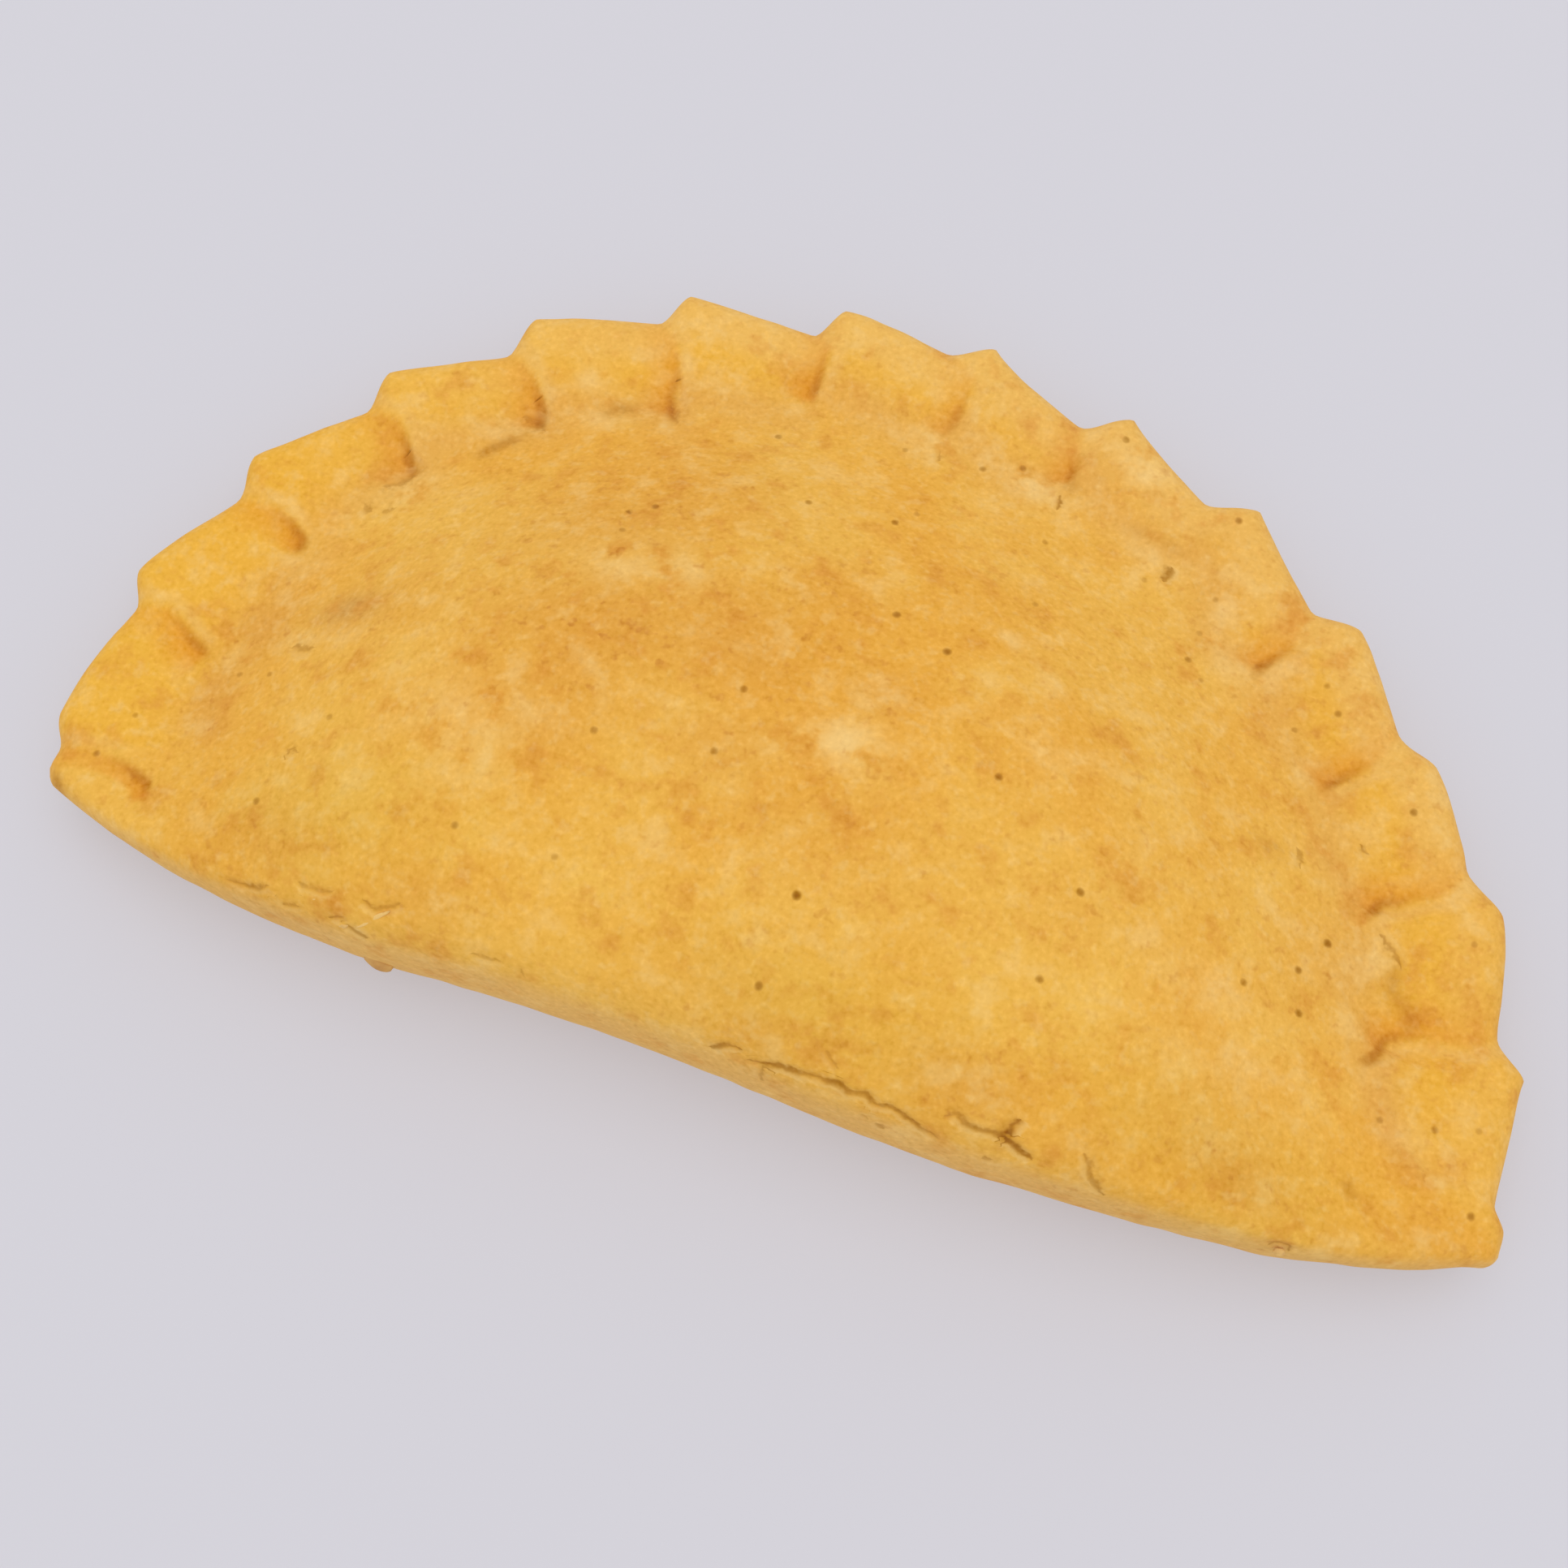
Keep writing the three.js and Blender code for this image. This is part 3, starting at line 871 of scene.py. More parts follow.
CRACKS = (
    Crack(((-1.6, -6.3, 17.9), (-0.2, -6.0, 18.9), (1.3, -5.9, 19.3)), 0.38, 0.15, 0.75),
    Crack(
        (
            (1.9, -6.5, 18.0), (3.5, -6.4, 18.4), (5.3, -6.1, 19.2), (7.4, -6.1, 19.2), (9.4, -6.1, 19.3),
            (10.7, -6.0, 19.5), (11.9, -6.4, 18.9), (13.5, -6.1, 19.4), (14.6, -6.7, 18.5),
            (15.8, -6.4, 18.9), (17.9, -6.9, 18.1), (19.3, -7.1, 17.5), (20.9, -7.4, 16.9),
            (21.6, -7.3, 17.0),
        ),
        0.43, 0.3, 0.78,
    ),
    Crack(((3.6, -6.5, 18.1), (3.7, -7.3, 15.5)), 0.3, 0.1, 0.55),
    Crack(
        ((20.9, -5.9, 19.6), (21.8, -5.2, 20.1), (23.1, -5.8, 19.5), (24.8, -5.7, 19.4), (26.8, -5.6, 19.4)),
        0.36, 0.2, 0.65,
    ),
    Crack(((26.2, -5.6, 19.4), (27.4, -6.0, 18.9), (28.1, -6.2, 18.5), (29.7, -6.5, 17.9)), 0.42, 0.3, 0.9),
    Crack(((26.6, -5.8, 19.2), (26.8, -5.2, 19.7), (27.0, -4.7, 20.0), (27.4, -3.8, 20.4)), 0.44, 0.3, 0.9),
    Crack(((13.6, -7.3, 16.7), (14.3, -7.5, 16.0)), 0.36, 0.1, 0.4),
    Crack(((15.2, -7.5, 15.8), (15.9, -7.7, 15.0)), 0.36, 0.1, 0.5),
    Crack(((25.2, -7.5, 16.1), (26.1, -7.4, 16.4)), 0.34, 0.1, 0.55),
    Crack(((33.8, -4.6, 19.1), (34.6, -5.2, 18.5), (35.0, -6.0, 17.6), (36.8, -6.9, 15.4)), 0.32, 0.1, 0.55),
    Crack(
        ((-51.7, -5.4, 14.9), (-50.1, -5.6, 15.2), (-48.1, -5.5, 16.0), (-46.8, -5.0, 16.9)), 0.38, 0.2, 0.55
    ),
    Crack(
        ((-43.9, -4.1, 18.3), (-42.3, -4.3, 18.6), (-40.9, -4.4, 18.9), (-39.9, -4.0, 19.3)), 0.38, 0.2, 0.55
    ),
    Crack(((-45.1, -6.2, 15.9), (-43.2, -5.9, 16.8)), 0.34, 0.15, 0.55),
    Crack(
        ((-36.9, -4.1, 19.8), (-35.6, -4.6, 19.6), (-34.1, -4.0, 20.2), (-33.0, -3.4, 20.7)), 0.34, 0.15, 0.55
    ),
    Crack(((-40.0, -6.0, 16.9), (-39.0, -5.8, 17.3), (-38.4, -5.6, 17.8)), 0.34, 0.2, 0.75),
    Crack(((-38.1, -6.0, 17.0), (-37.0, -6.3, 16.5), (-35.9, -6.5, 16.1)), 0.3, 0.2, 0.6),
    Crack(((-25.6, -5.3, 18.9), (-23.9, -5.3, 19.0), (-22.4, -5.2, 19.0)), 0.2, 0.1, 0.4),
    Crack(((-20.7, -5.2, 19.1), (-20.2, -5.8, 17.7)), 0.2, 0.1, 0.6),
    Crack(((8.6, -3.8, 21.4), (9.6, -4.5, 21.0), (10.5, -5.0, 20.6)), 0.38, 0.1, 0.55),
    Crack(
        ((52.8, -6.2, 12.2), (53.3, -5.8, 12.7), (54.0, -5.7, 12.7), (54.8, -5.7, 12.2), (54.8, -6.0, 11.4)),
        0.32,
    ),
)
MARKS = (
    Stroke(((58.8, 24.8), (58.2, 25.9), (56.9, 26.8), (55.6, 27.8)), 0.4, 0.55),
    Stroke(((45.7, 32.5), (46.5, 31.1)), 0.45, 0.5),
    Stroke(((51.8, 35.8), (52.8, 35.2)), 0.45, 0.6),
    Stroke(((64.8, 6.4), (65.6, 4.9)), 0.45, 0.5),
    Stroke(((-56.5, 38.4), (-55.3, 37.6)), 0.5, 0.5),
    Stroke(((-54.2, 37.8), (-52.9, 38.7)), 0.5, 0.5),
    Stroke(((-52.7, 43.3), (-54.1, 41.9), (-55.7, 41.0)), 0.5, 0.45),
    Stroke(((-41.6, 52.5), (-43.3, 53.2), (-44.8, 53.4)), 0.5, 0.35),
    Stroke(((-30.3, 59.8), (-29.1, 58.3), (-28.2, 57.8)), 0.5, 0.4),
    Stroke(((-55.9, 19.6), (-53.1, 19.8)), 0.5, 0.6),
    Stroke(((-50.4, 7.6), (-50.1, 8.5), (-49.0, 8.4)), 0.4, 0.5),
    Stroke(((12.6, 63.4), (12.8, 61.4)), 0.45, 0.7),
    Stroke(((-1.2, 64.2), (-0.6, 62.6)), 0.35, 0.6),
    Stroke(((25.5, 57.1), (25.8, 59.2)), 0.8, 0.75),
)
# Dark streaks: partly browning, partly painted shade in the crease pits and the crack's hollow near x = 26.
STAINS_AND_HOLLOW_SHADE = (
    Stroke(((61.4, 19.2), (60.4, 20.9), (58.1, 22.6), (58.4, 25.0)), 0.9, 0.5),
    Stroke(((42.0, 31.4), (43.8, 30.9)), 1.0, 0.4),
    Stroke(((58.0, 2.4), (59.3, 0.8)), 0.7, 0.5),
    Stroke(((-47.0, 47.4), (-45.9, 48.7), (-43.7, 50.9)), 0.7, 0.75),
    Stroke(((-36.1, 56.2), (-35.0, 57.8), (-33.1, 58.0)), 0.7, 0.55),
    Stroke(((-74.5, 0.4), (-73.9, -0.4), (-73.1, -0.9)), 0.8, 0.75),
    Stroke(((-42.9, 52.8), (-42.3, 53.9)), 0.8, 0.3),
    Stroke(((-53.3, 43.3), (-52.6, 44.4)), 0.8, 0.35),
    Stroke(((-61.3, 31.2), (-60.8, 32.2)), 0.7, 0.5),
    Stroke(((-65.8, 17.3), (-65.2, 18.0)), 0.7, 0.45),
    Stroke(((26.7, 61.0), (23.7, 61.7), (20.3, 62.1)), 0.8, 0.25),
    Stroke(((26.1, -5.5), (27.2, -5.7)), 0.8, 0.9),
    Stroke(((13.4, 64.1), (13.4, 65.4)), 1.0, 0.35),
)
SCRATCH = Stroke(((7.9, 41.8), (12.3, 40.9), (16.9, 38.9), (20.1, 35.9)), 0.4, 0.5)
# Spots of toasting; those near x = -61 at the left foot are painted shade, where the body rises steeply.
TOAST_AND_FOOT_SHADE = Patch.rows(
    (-24.5, 26.5, 10.0, 0.9, 1.3, 20.0), (-12.2, 30.7, 9.0, 0.8, 1.5, -10.0),
    (-45.0, 26.0, 6.0, 0.35, 1.5, 40.0), (0.7, 15.6, 9.0, 0.4, 1.8), (-25.2, 42.0, 9.0, 0.7, 1.6, 30.0),
    (25.0, 15.5, 4.0, 0.35, 1.4), (-60.2, 22.0, 3.2, 1.0, 1.4, 60.0), (-62.6, 13.6, 2.2, 0.9, 1.8, 80.0),
    (-60.6, 9.8, 1.8, 0.8, 1.6, 100.0), (47.5, -1.8, 3.2, 0.75, 2.2, -10.0), (-9.5, 19.5, 5.0, 0.6, 1.4),
    (22.0, -2.4, 3.2, 0.8, 2.0), (2.5, -4.2, 2.5, 0.6, 2.0), (33.4, -4.3, 2.5, 0.5, 2.0),
    (33.6, 16.2, 4.0, 0.2, 1.4), (49.5, 21.5, 6.0, 0.45, 1.4, 80.0), (-31.4, -2.2, 3.0, 0.5, 1.8),
    (3.2, 29.5, 4.0, 0.65, 1.4), (-6.5, 38.5, 6.0, 0.6, 1.5), (66.0, -0.5, 3.0, 0.5, 1.8, 20.0),
    (-49.5, -1.0, 4.0, 0.5, 2.0), (-2.0, -1.5, 4.0, 0.4, 2.0), (58.1, -3.8, 2.2, 0.5, 1.8),
    (67.3, 7.0, 2.0, 0.75), (60.9, 8.7, 2.0, 0.65), (33.0, 57.6, 2.4, 0.5, 1.3, -40.0),
    (40.9, 52.6, 2.0, 0.75), (-61.5, 27.7, 2.4, 0.5, 1.4, 60.0), (-26.0, 16.9, 5.0, 0.6, 1.3),
    (-40.2, -5.4, 1.6, 0.6, 2.0, 30.0),
)
FLOUR = Patch.rows(
    (-26.4, 35.3, 2.5, 0.45, 1.8, 20.0), (-36.0, 13.0, 6.0, 0.45, 1.4, 20.0),
    (-19.8, 35.9, 2.0, 0.6, 1.5, -20.0), (0.7, 22.9, 2.2, 1.0, 2.4, 10.0),
    (21.5, 29.7, 2.0, 0.4, 2.0, 25.0), (39.4, 13.5, 2.5, 0.4, 1.8, -10.0),
    (44.5, 5.5, 6.0, 0.35, 1.5, -10.0), (16.9, 31.3, 2.0, 0.3, 2.0), (52.4, 37.4, 1.8, 0.4),
    (53.4, 31.9, 2.0, 0.35, 1.5, 60.0), (56.4, 26.0, 1.4, 0.35, 1.8, 60.0),
    (64.0, 8.6, 2.2, 0.35, 1.4, 40.0), (66.7, 12.1, 1.8, 0.45), (66.3, 5.0, 0.9, 0.9),
    (20.2, 68.8, 2.2, 0.8, 1.5, -30.0), (33.9, 50.2, 1.8, 0.5, 2.0, -60.0),
    (21.9, 60.4, 1.8, 0.5, 2.2, -25.0), (32.6, 55.9, 1.5, 0.7), (-48.5, 50.1, 1.8, 0.8, 1.5, 30.0),
    (-37.0, 55.1, 1.5, 0.7, 1.5, 20.0), (-51.0, 41.5, 1.8, 0.8, 1.8, 30.0), (-39.1, 60.3, 1.8, 0.7),
    (9.4, 63.3, 2.0, 0.9, 1.6, -30.0), (-2.4, 64.4, 1.4, 0.8, 1.6), (-58.7, 29.7, 1.5, 0.2, 1.6, 20.0),
    (-55.2, 20.7, 1.0, 0.8, 1.8), (-62.6, 18.0, 1.2, 0.8), (29.4, 21.7, 3.0, 0.35),
    (-27.3, 52.7, 3.0, 0.35),
)
# A greyer, darker patch on the left flank of the body.
GREY_PATCH = Patch.rows((-51.3, 24.7, 2.0, 0.9, 1.8, 20.0))
# Painted shade: an olive shade on the shoulder above the fold, where less light falls.
SHOULDER_SHADE = Patch.rows(
    (46.0, -0.5, 6.0, 1.0, 2.6, -6.0), (8.0, -0.5, 5.5, 0.85, 2.8), (-43.0, 2.5, 7.0, 0.85, 2.2, 10.0)
)
DARK_SPECKS = ((2.0, 8.0), (7.5, 36.5), (50.9, 24.1))
BROWN_SPECKS = (
    (1.7, 38.8), (31.1, 66.4), (48.6, 20.0), (56.0, 40.8), (1.3, -0.6), (26.4, 17.3), (70.2, 3.2),
    (-2.1, 51.0), (16.0, 24.9), (25.2, 8.2), (49.7, 15.9), (-27.3, 42.0),
)
SOFT_SPECKS = (
    (-17.5, 59.3), (-21.1, 17.0), (65.2, 10.1), (-30.5, 4.7), (30.2, 48.6), (17.3, 71.7), (43.6, 16.1),
    (-11.0, 49.8), (-9.7, 18.5), (-70.9, 3.6), (-9.2, 25.3), (3.9, 63.5), (-51.3, 2.5), (46.3, 48.7),
    (7.9, 65.2), (-25.1, 43.5),
)
FAINT_SPECKS = (
    (23.6, 56.4), (30.6, 52.5), (-20.5, 4.7), (-68.9, 8.6), (31.2, 57.1), (-26.9, 39.3), (-4.5, 62.7),
    (13.9, 46.9), (12.7, 56.3), (-60.4, 15.9), (-56.8, 16.3), (-47.4, 12.3), (69.2, 11.4), (64.8, 29.4),
    (44.5, 51.3), (32.0, 46.6), (-0.5, 53.4), (42.5, 45.5), (60.0, 9.3),
)
SPECKS = (
    *(Speck(x, y, 0.4, 1.0) for x, y in DARK_SPECKS),
    *(Speck(x, y, 0.36, 0.85) for x, y in BROWN_SPECKS),
    *(Speck(x, y, 0.34, 0.72) for x, y in SOFT_SPECKS),
    *(Speck(x, y, 0.3, 0.48) for x, y in FAINT_SPECKS),
)


@dataclass(frozen=True)
class CrustFinish:
    """Colours and surface of the baked dough.

    Colours are display colours from 0 to 255. Tones are the shares of red, green and blue light that a mark
    leaves of the colour below it; the dust's tone is added or taken away. Sizes are in millimetres. A field of
    two numbers is where an edge starts to rise or fall and where it ends; a gain is a least value and what a
    noise or a mask adds to it.
    """

    golden: Display = (237, 181, 74)
    amber: Display = (234, 167, 56)
    buttery: Display = (242, 191, 86)
    # Toasting colour, also laid as painted shade at the left foot.
    toasted_and_foot_shade: Display = (217, 145, 49)
    scorched: Display = (196, 122, 38)
    # Flour dust; also the painted highlight on the lower lips of the cracks.
    floury_and_lip_highlight: Display = (245, 205, 130)
    dusty: Display = (225, 167, 80)
    pinched: Display = (238, 178, 54)
    # Paler rim near the crest; also the painted highlight on the pleat ridges.
    pale_rim_and_ridge_highlight: Display = (238, 186, 92)
    # Paler dough on the fold's edge and underside, partly painted bounce light from the floor.
    pale_fold_and_bounce_light: Display = (229, 180, 102)
    flaked: Display = (186, 134, 74)
    flaked_pale: Display = (240, 196, 116)
    greyed: Display = (198, 150, 84)
    # Painted shade: warm orange shade on the dough where it dips into each crease.
    crease_shade_tone: Tone = (0.88, 0.58, 0.1, 1.0)
    # Painted shade in the crease pits, along the crease lines and in the hollow of the crack, mixed with real
    # browning.
    browned_and_hollow_shade: Tone = (0.6, 0.44, 0.08, 1.0)
    # Painted shade in the hollows of the cracks and thin marks, with a browner halo of real colour.
    crack_shade_and_browning: Tone = (0.5, 0.37, 0.1, 1.0)
    bran: Tone = (0.46, 0.34, 0.03, 1.0)
    # Painted shade on the shoulder above the fold.
    shoulder_shade_tone: Tone = (0.94, 0.975, 0.86, 1.0)
    dust_tone: Tone = (1.0, 0.7, 0.25, 1.0)
    dust_depth: float = 0.062
    dark_dust: Spot = (0.5, 0.22)
    light_dust: Spot = (0.5, 0.78)
    amber_edge: Spot = (0.38, 0.66)
    amber_share: float = 0.7
    buttery_edge: Spot = (0.48, 0.7)
    buttery_share: float = 0.55
    rim_share: float = 0.8
    toast_gain: Spot = (0.2, 1.2)
    toast_share: float = 0.8
    dusty_least: float = 0.2
    fold_share: float = 0.7
    grey_patch_gain: Spot = (0.3, 0.7)
    flour_blotch: Spot = (0.28, 0.55)
    flour_meal: Spot = (0.3, 0.55)
    flour_share: float = 0.8
    light_meal: Spot = (0.5, 0.72)
    light_meal_share: float = 0.35
    dark_meal: Spot = (0.48, 0.28)
    dark_meal_gain: Spot = (0.5, 0.5)
    light_grain: Spot = (0.52, 0.74)
    light_grain_share: float = 0.25
    dark_grain: Spot = (0.42, 0.24)
    dark_grain_gain: Spot = (0.22, 0.5)
    speck_wander: float = 1.6
    speck_edge: Spot = (2.2, -0.2)
    mottle: Clouds = Clouds(26.0, 2.0, 0.5, 0.11)
    blotch: Clouds = Clouds(10.0, 3.0, 0.55, 0.29)
    meal: Clouds = Clouds(4.2, 3.0, 0.6, 0.37)
    grain: Clouds = Clouds(1.5, 2.0, 0.6, 0.73)
    dust: Clouds = Clouds(0.55, 1.0, 0.5, 0.57)
    flake_grain: Clouds = Clouds(1.5, 2.0, 0.6, 0.41)
    flake_wander: float = 1.2
    roughness: float = 0.8
    rim_shine: float = 0.12
    meal_roughness: float = 0.15
    specular: float = 0.25
    bump: float = 0.4
    bump_mm: float = 0.3
    meal_relief: float = 0.6
    grain_relief: float = 0.4
    ridge_highlight_gap: float = 1.4
    ridge_highlight_edge: Spot = (1.3, 0.0)
    crease_shade_rise: Spot = (-0.8, 0.4)
    crease_shade_fall: Spot = (4.7, 0.2)
    line_edge: Spot = (0.95, 0.1)
    line_wander: float = 0.9
    line_gain: Spot = (0.5, 0.9)
    brown_gain: Spot = (0.1, 0.8)
    brown_grain: float = 0.8
    crack_wander: float = 0.85
    crack_drift: float = 0.5
    crack_dust: float = 0.6
    crack_meal: Spot = (0.34, 0.62)
    crack_gain: Spot = (0.5, 0.9)
    crack_start: Spot = (0.02, 0.16)
    least_opening: float = 0.001
    core_edge: Spot = (1.35, 0.15)
    core_gain: Spot = (0.4, 0.5)
    halo_edge: Spot = (3.2, 0.5)
    halo_share: float = 0.22
    lip_gap: float = 0.7
    lip_edge: Spot = (0.55, 0.0)
    lip_start: Spot = (0.05, 0.25)
    lip_highlight_share: float = 0.45

    def material(self) -> bpy.types.Material:
        """Makes the crust: golden dough, mottled, with toasting, flour dust, pinched rim zones and bran specks,
        and with painted shade and highlights.

        Returns:
            The material.
        """
        book = NodeBook("golden crust")
        noises = (self.mottle, self.blotch, self.meal, self.grain, self.dust)
        mottle, blotch, meal, grain, dust = map(book.noise, noises)
        rim, toast_and_foot_shade = book.attribute("rim"), book.attribute("toast_and_foot_shade")
        # Painted highlight: a paler band on the ridge just right of each crease line.
        ridge_highlight = abs(book.attribute("gap") + self.ridge_highlight_gap).eased(*self.ridge_highlight_edge) * book.parts("crease")[2]
        pale = (book.attribute("pale") + ridge_highlight).clamped()
        flour = book.attribute("flour") * blotch.eased(*self.flour_blotch) * meal.eased(*self.flour_meal)
        layers = (
            (mottle.eased(*self.amber_edge) * self.amber_share, linear(self.amber)),
            (blotch.eased(*self.buttery_edge) * self.buttery_share, linear(self.buttery)),
            (rim * self.rim_share, book.mix(pale, linear(self.pinched), linear(self.pale_rim_and_ridge_highlight))),
            # Toasting, and painted shade at the left foot.
            ((toast_and_foot_shade * blotch.raised(*self.toast_gain)).clamped() * self.toast_share, linear(self.toasted_and_foot_shade)),
            (book.attribute("foot") * (self.dusty_least + blotch).clamped(), linear(self.dusty)),
            # Partly painted bounce light from the floor on the fold's edge and underside.
            (book.attribute("fold") * self.fold_share, linear(self.pale_fold_and_bounce_light)),
            (book.attribute("grey_patch") * meal.raised(*self.grey_patch_gain), linear(self.greyed)),
            (flour.clamped() * self.flour_share, linear(self.floury_and_lip_highlight)),
            (meal.eased(*self.light_meal) * self.light_meal_share, linear(self.floury_and_lip_highlight)),
            (meal.eased(*self.dark_meal) * toast_and_foot_shade.raised(*self.dark_meal_gain), linear(self.toasted_and_foot_shade)),
            (grain.eased(*self.light_grain) * self.light_grain_share, linear(self.floury_and_lip_highlight)),
            (grain.eased(*self.dark_grain) * toast_and_foot_shade.raised(*self.dark_grain_gain), linear(self.scorched)),
        )
        colour = linear(self.golden)
        for cover, over in layers:
            colour = book.mix(cover, colour, over)
        # Painted shade on the fold's shoulder.
        colour = book.mix(book.attribute("shoulder_shade"), colour, self.shoulder_shade_tone, "MULTIPLY")
        colour = self._creased(book, colour, meal, grain)
        rough = grain + self.crack_dust * dust - self.crack_dust / 2.0
        colour = self._cracked(book, colour, meal, rough)
        across, back, strength = book.parts("speck")
        spread = across * across + back * back + (grain - 0.5) * self.speck_wander
        colour = book.mix(spread.eased(*self.speck_edge) * strength, colour, self.bran, "MULTIPLY")
        for edge, blend in ((self.dark_dust, "SUBTRACT"), (self.light_dust, "ADD")):
            colour = book.mix(dust.eased(*edge) * self.dust_depth, colour, self.dust_tone, blend)
        height = meal * self.meal_relief + grain * self.grain_relief
        relief = {"Strength": self.bump, "Distance": self.bump_mm * MM, "Height": height}
        roughness = self.roughness - self.rim_shine * rim + self.meal_roughness * (meal - 0.5)
        return book.shaded(
            {
                "Base Color": colour,
                "Roughness": roughness.clamped(),
                "Specular IOR Level": self.specular,
                "Normal": book.node("ShaderNodeBump", {}, relief).outputs["Normal"],
            }
        )

    def _creased(
        self, book: NodeBook, colour: bpy.types.NodeSocket, meal: Shade, grain: Shade
    ) -> bpy.types.NodeSocket:
        """Lays painted orange shade on the left of each crease line over a colour, then the line itself:
        painted shade under the ridge's edge and in the pit, with some browning.

        Args:
            book: The material's nodes.
            colour: The colour below.
            meal: Middling noise, which makes the brown uneven.
            grain: Fine noise, which makes the line ragged.

        Returns:
            The mixed colour's socket.
        """
        gap = book.attribute("gap")
        line, crease_shade, _ = book.parts("crease")
        # Painted shade: orange shade across the dough on the left of each crease line.
        crease_shade = gap.eased(*self.crease_shade_rise) * gap.eased(*self.crease_shade_fall) * crease_shade
        colour = book.mix(crease_shade, colour, self.crease_shade_tone, "MULTIPLY")
        # Painted shade: the dark crease line under the ridge's edge, darkest near the pit.
        ragged = gap + (grain - 0.5) * self.line_wander
        line = abs(ragged).eased(*self.line_edge) * line * meal.raised(*self.line_gain)
        brown = book.attribute("brown") * (meal.raised(*self.brown_gain) + self.brown_grain * grain)
        return book.mix((brown + line).clamped(), colour, self.browned_and_hollow_shade, "MULTIPLY")

    def _cracked(
        self, book: NodeBook, colour: bpy.types.NodeSocket, meal: Shade, rough: Shade
    ) -> bpy.types.NodeSocket:
        """Lays the ragged cracks and their lips on the side of the fold over a colour: painted shade in the
        cracks' hollows with a browner halo, and a painted highlight on their lower lips.

        Args:
            book: The material's nodes.
            colour: The colour below.
            meal: Middling noise, which widens and darkens the cracks in places.
            rough: Fine noise, which makes them ragged.

        Returns:
            The mixed colour's socket.
        """
        side, opening, dark = book.parts("crack")
        share = meal.eased(*self.crack_meal)
        opening = opening * share.raised(*self.crack_gain)
        side = side + (rough - 0.5) * self.crack_wander + (meal - 0.5) * self.crack_drift
        across = abs(side) / (opening + self.least_opening)
        # Painted highlight: a pale line along the lower lips of the cracks.
        lip_highlight = abs(side + self.lip_gap).eased(*self.lip_edge) * opening.eased(*self.lip_start)
        colour = book.mix(lip_highlight * dark * self.lip_highlight_share, colour, linear(self.floury_and_lip_highlight))
        # Painted shade inside the cracks, with a browner halo around them.
        core = across.eased(*self.core_edge) * share.raised(*self.core_gain)
        line = (core + across.eased(*self.halo_edge) * self.halo_share) * dark
        return book.mix(line * opening.eased(*self.crack_start), colour, self.crack_shade_and_browning, "MULTIPLY")

    def flake_material(self) -> bpy.types.Material:
        """Makes the matte pale crust of the loose flakes.

        Returns:
            The material.
        """
        book = NodeBook("flaked crust")
        tone = (book.attribute("tone") + (book.noise(self.flake_grain) - 0.5) * self.flake_wander).clamped()
        colour = book.mix(tone, linear(self.flaked), linear(self.flaked_pale))
        surface = {"Roughness": self.roughness, "Specular IOR Level": self.specular}
        return book.shaded({"Base Color": colour, **surface})


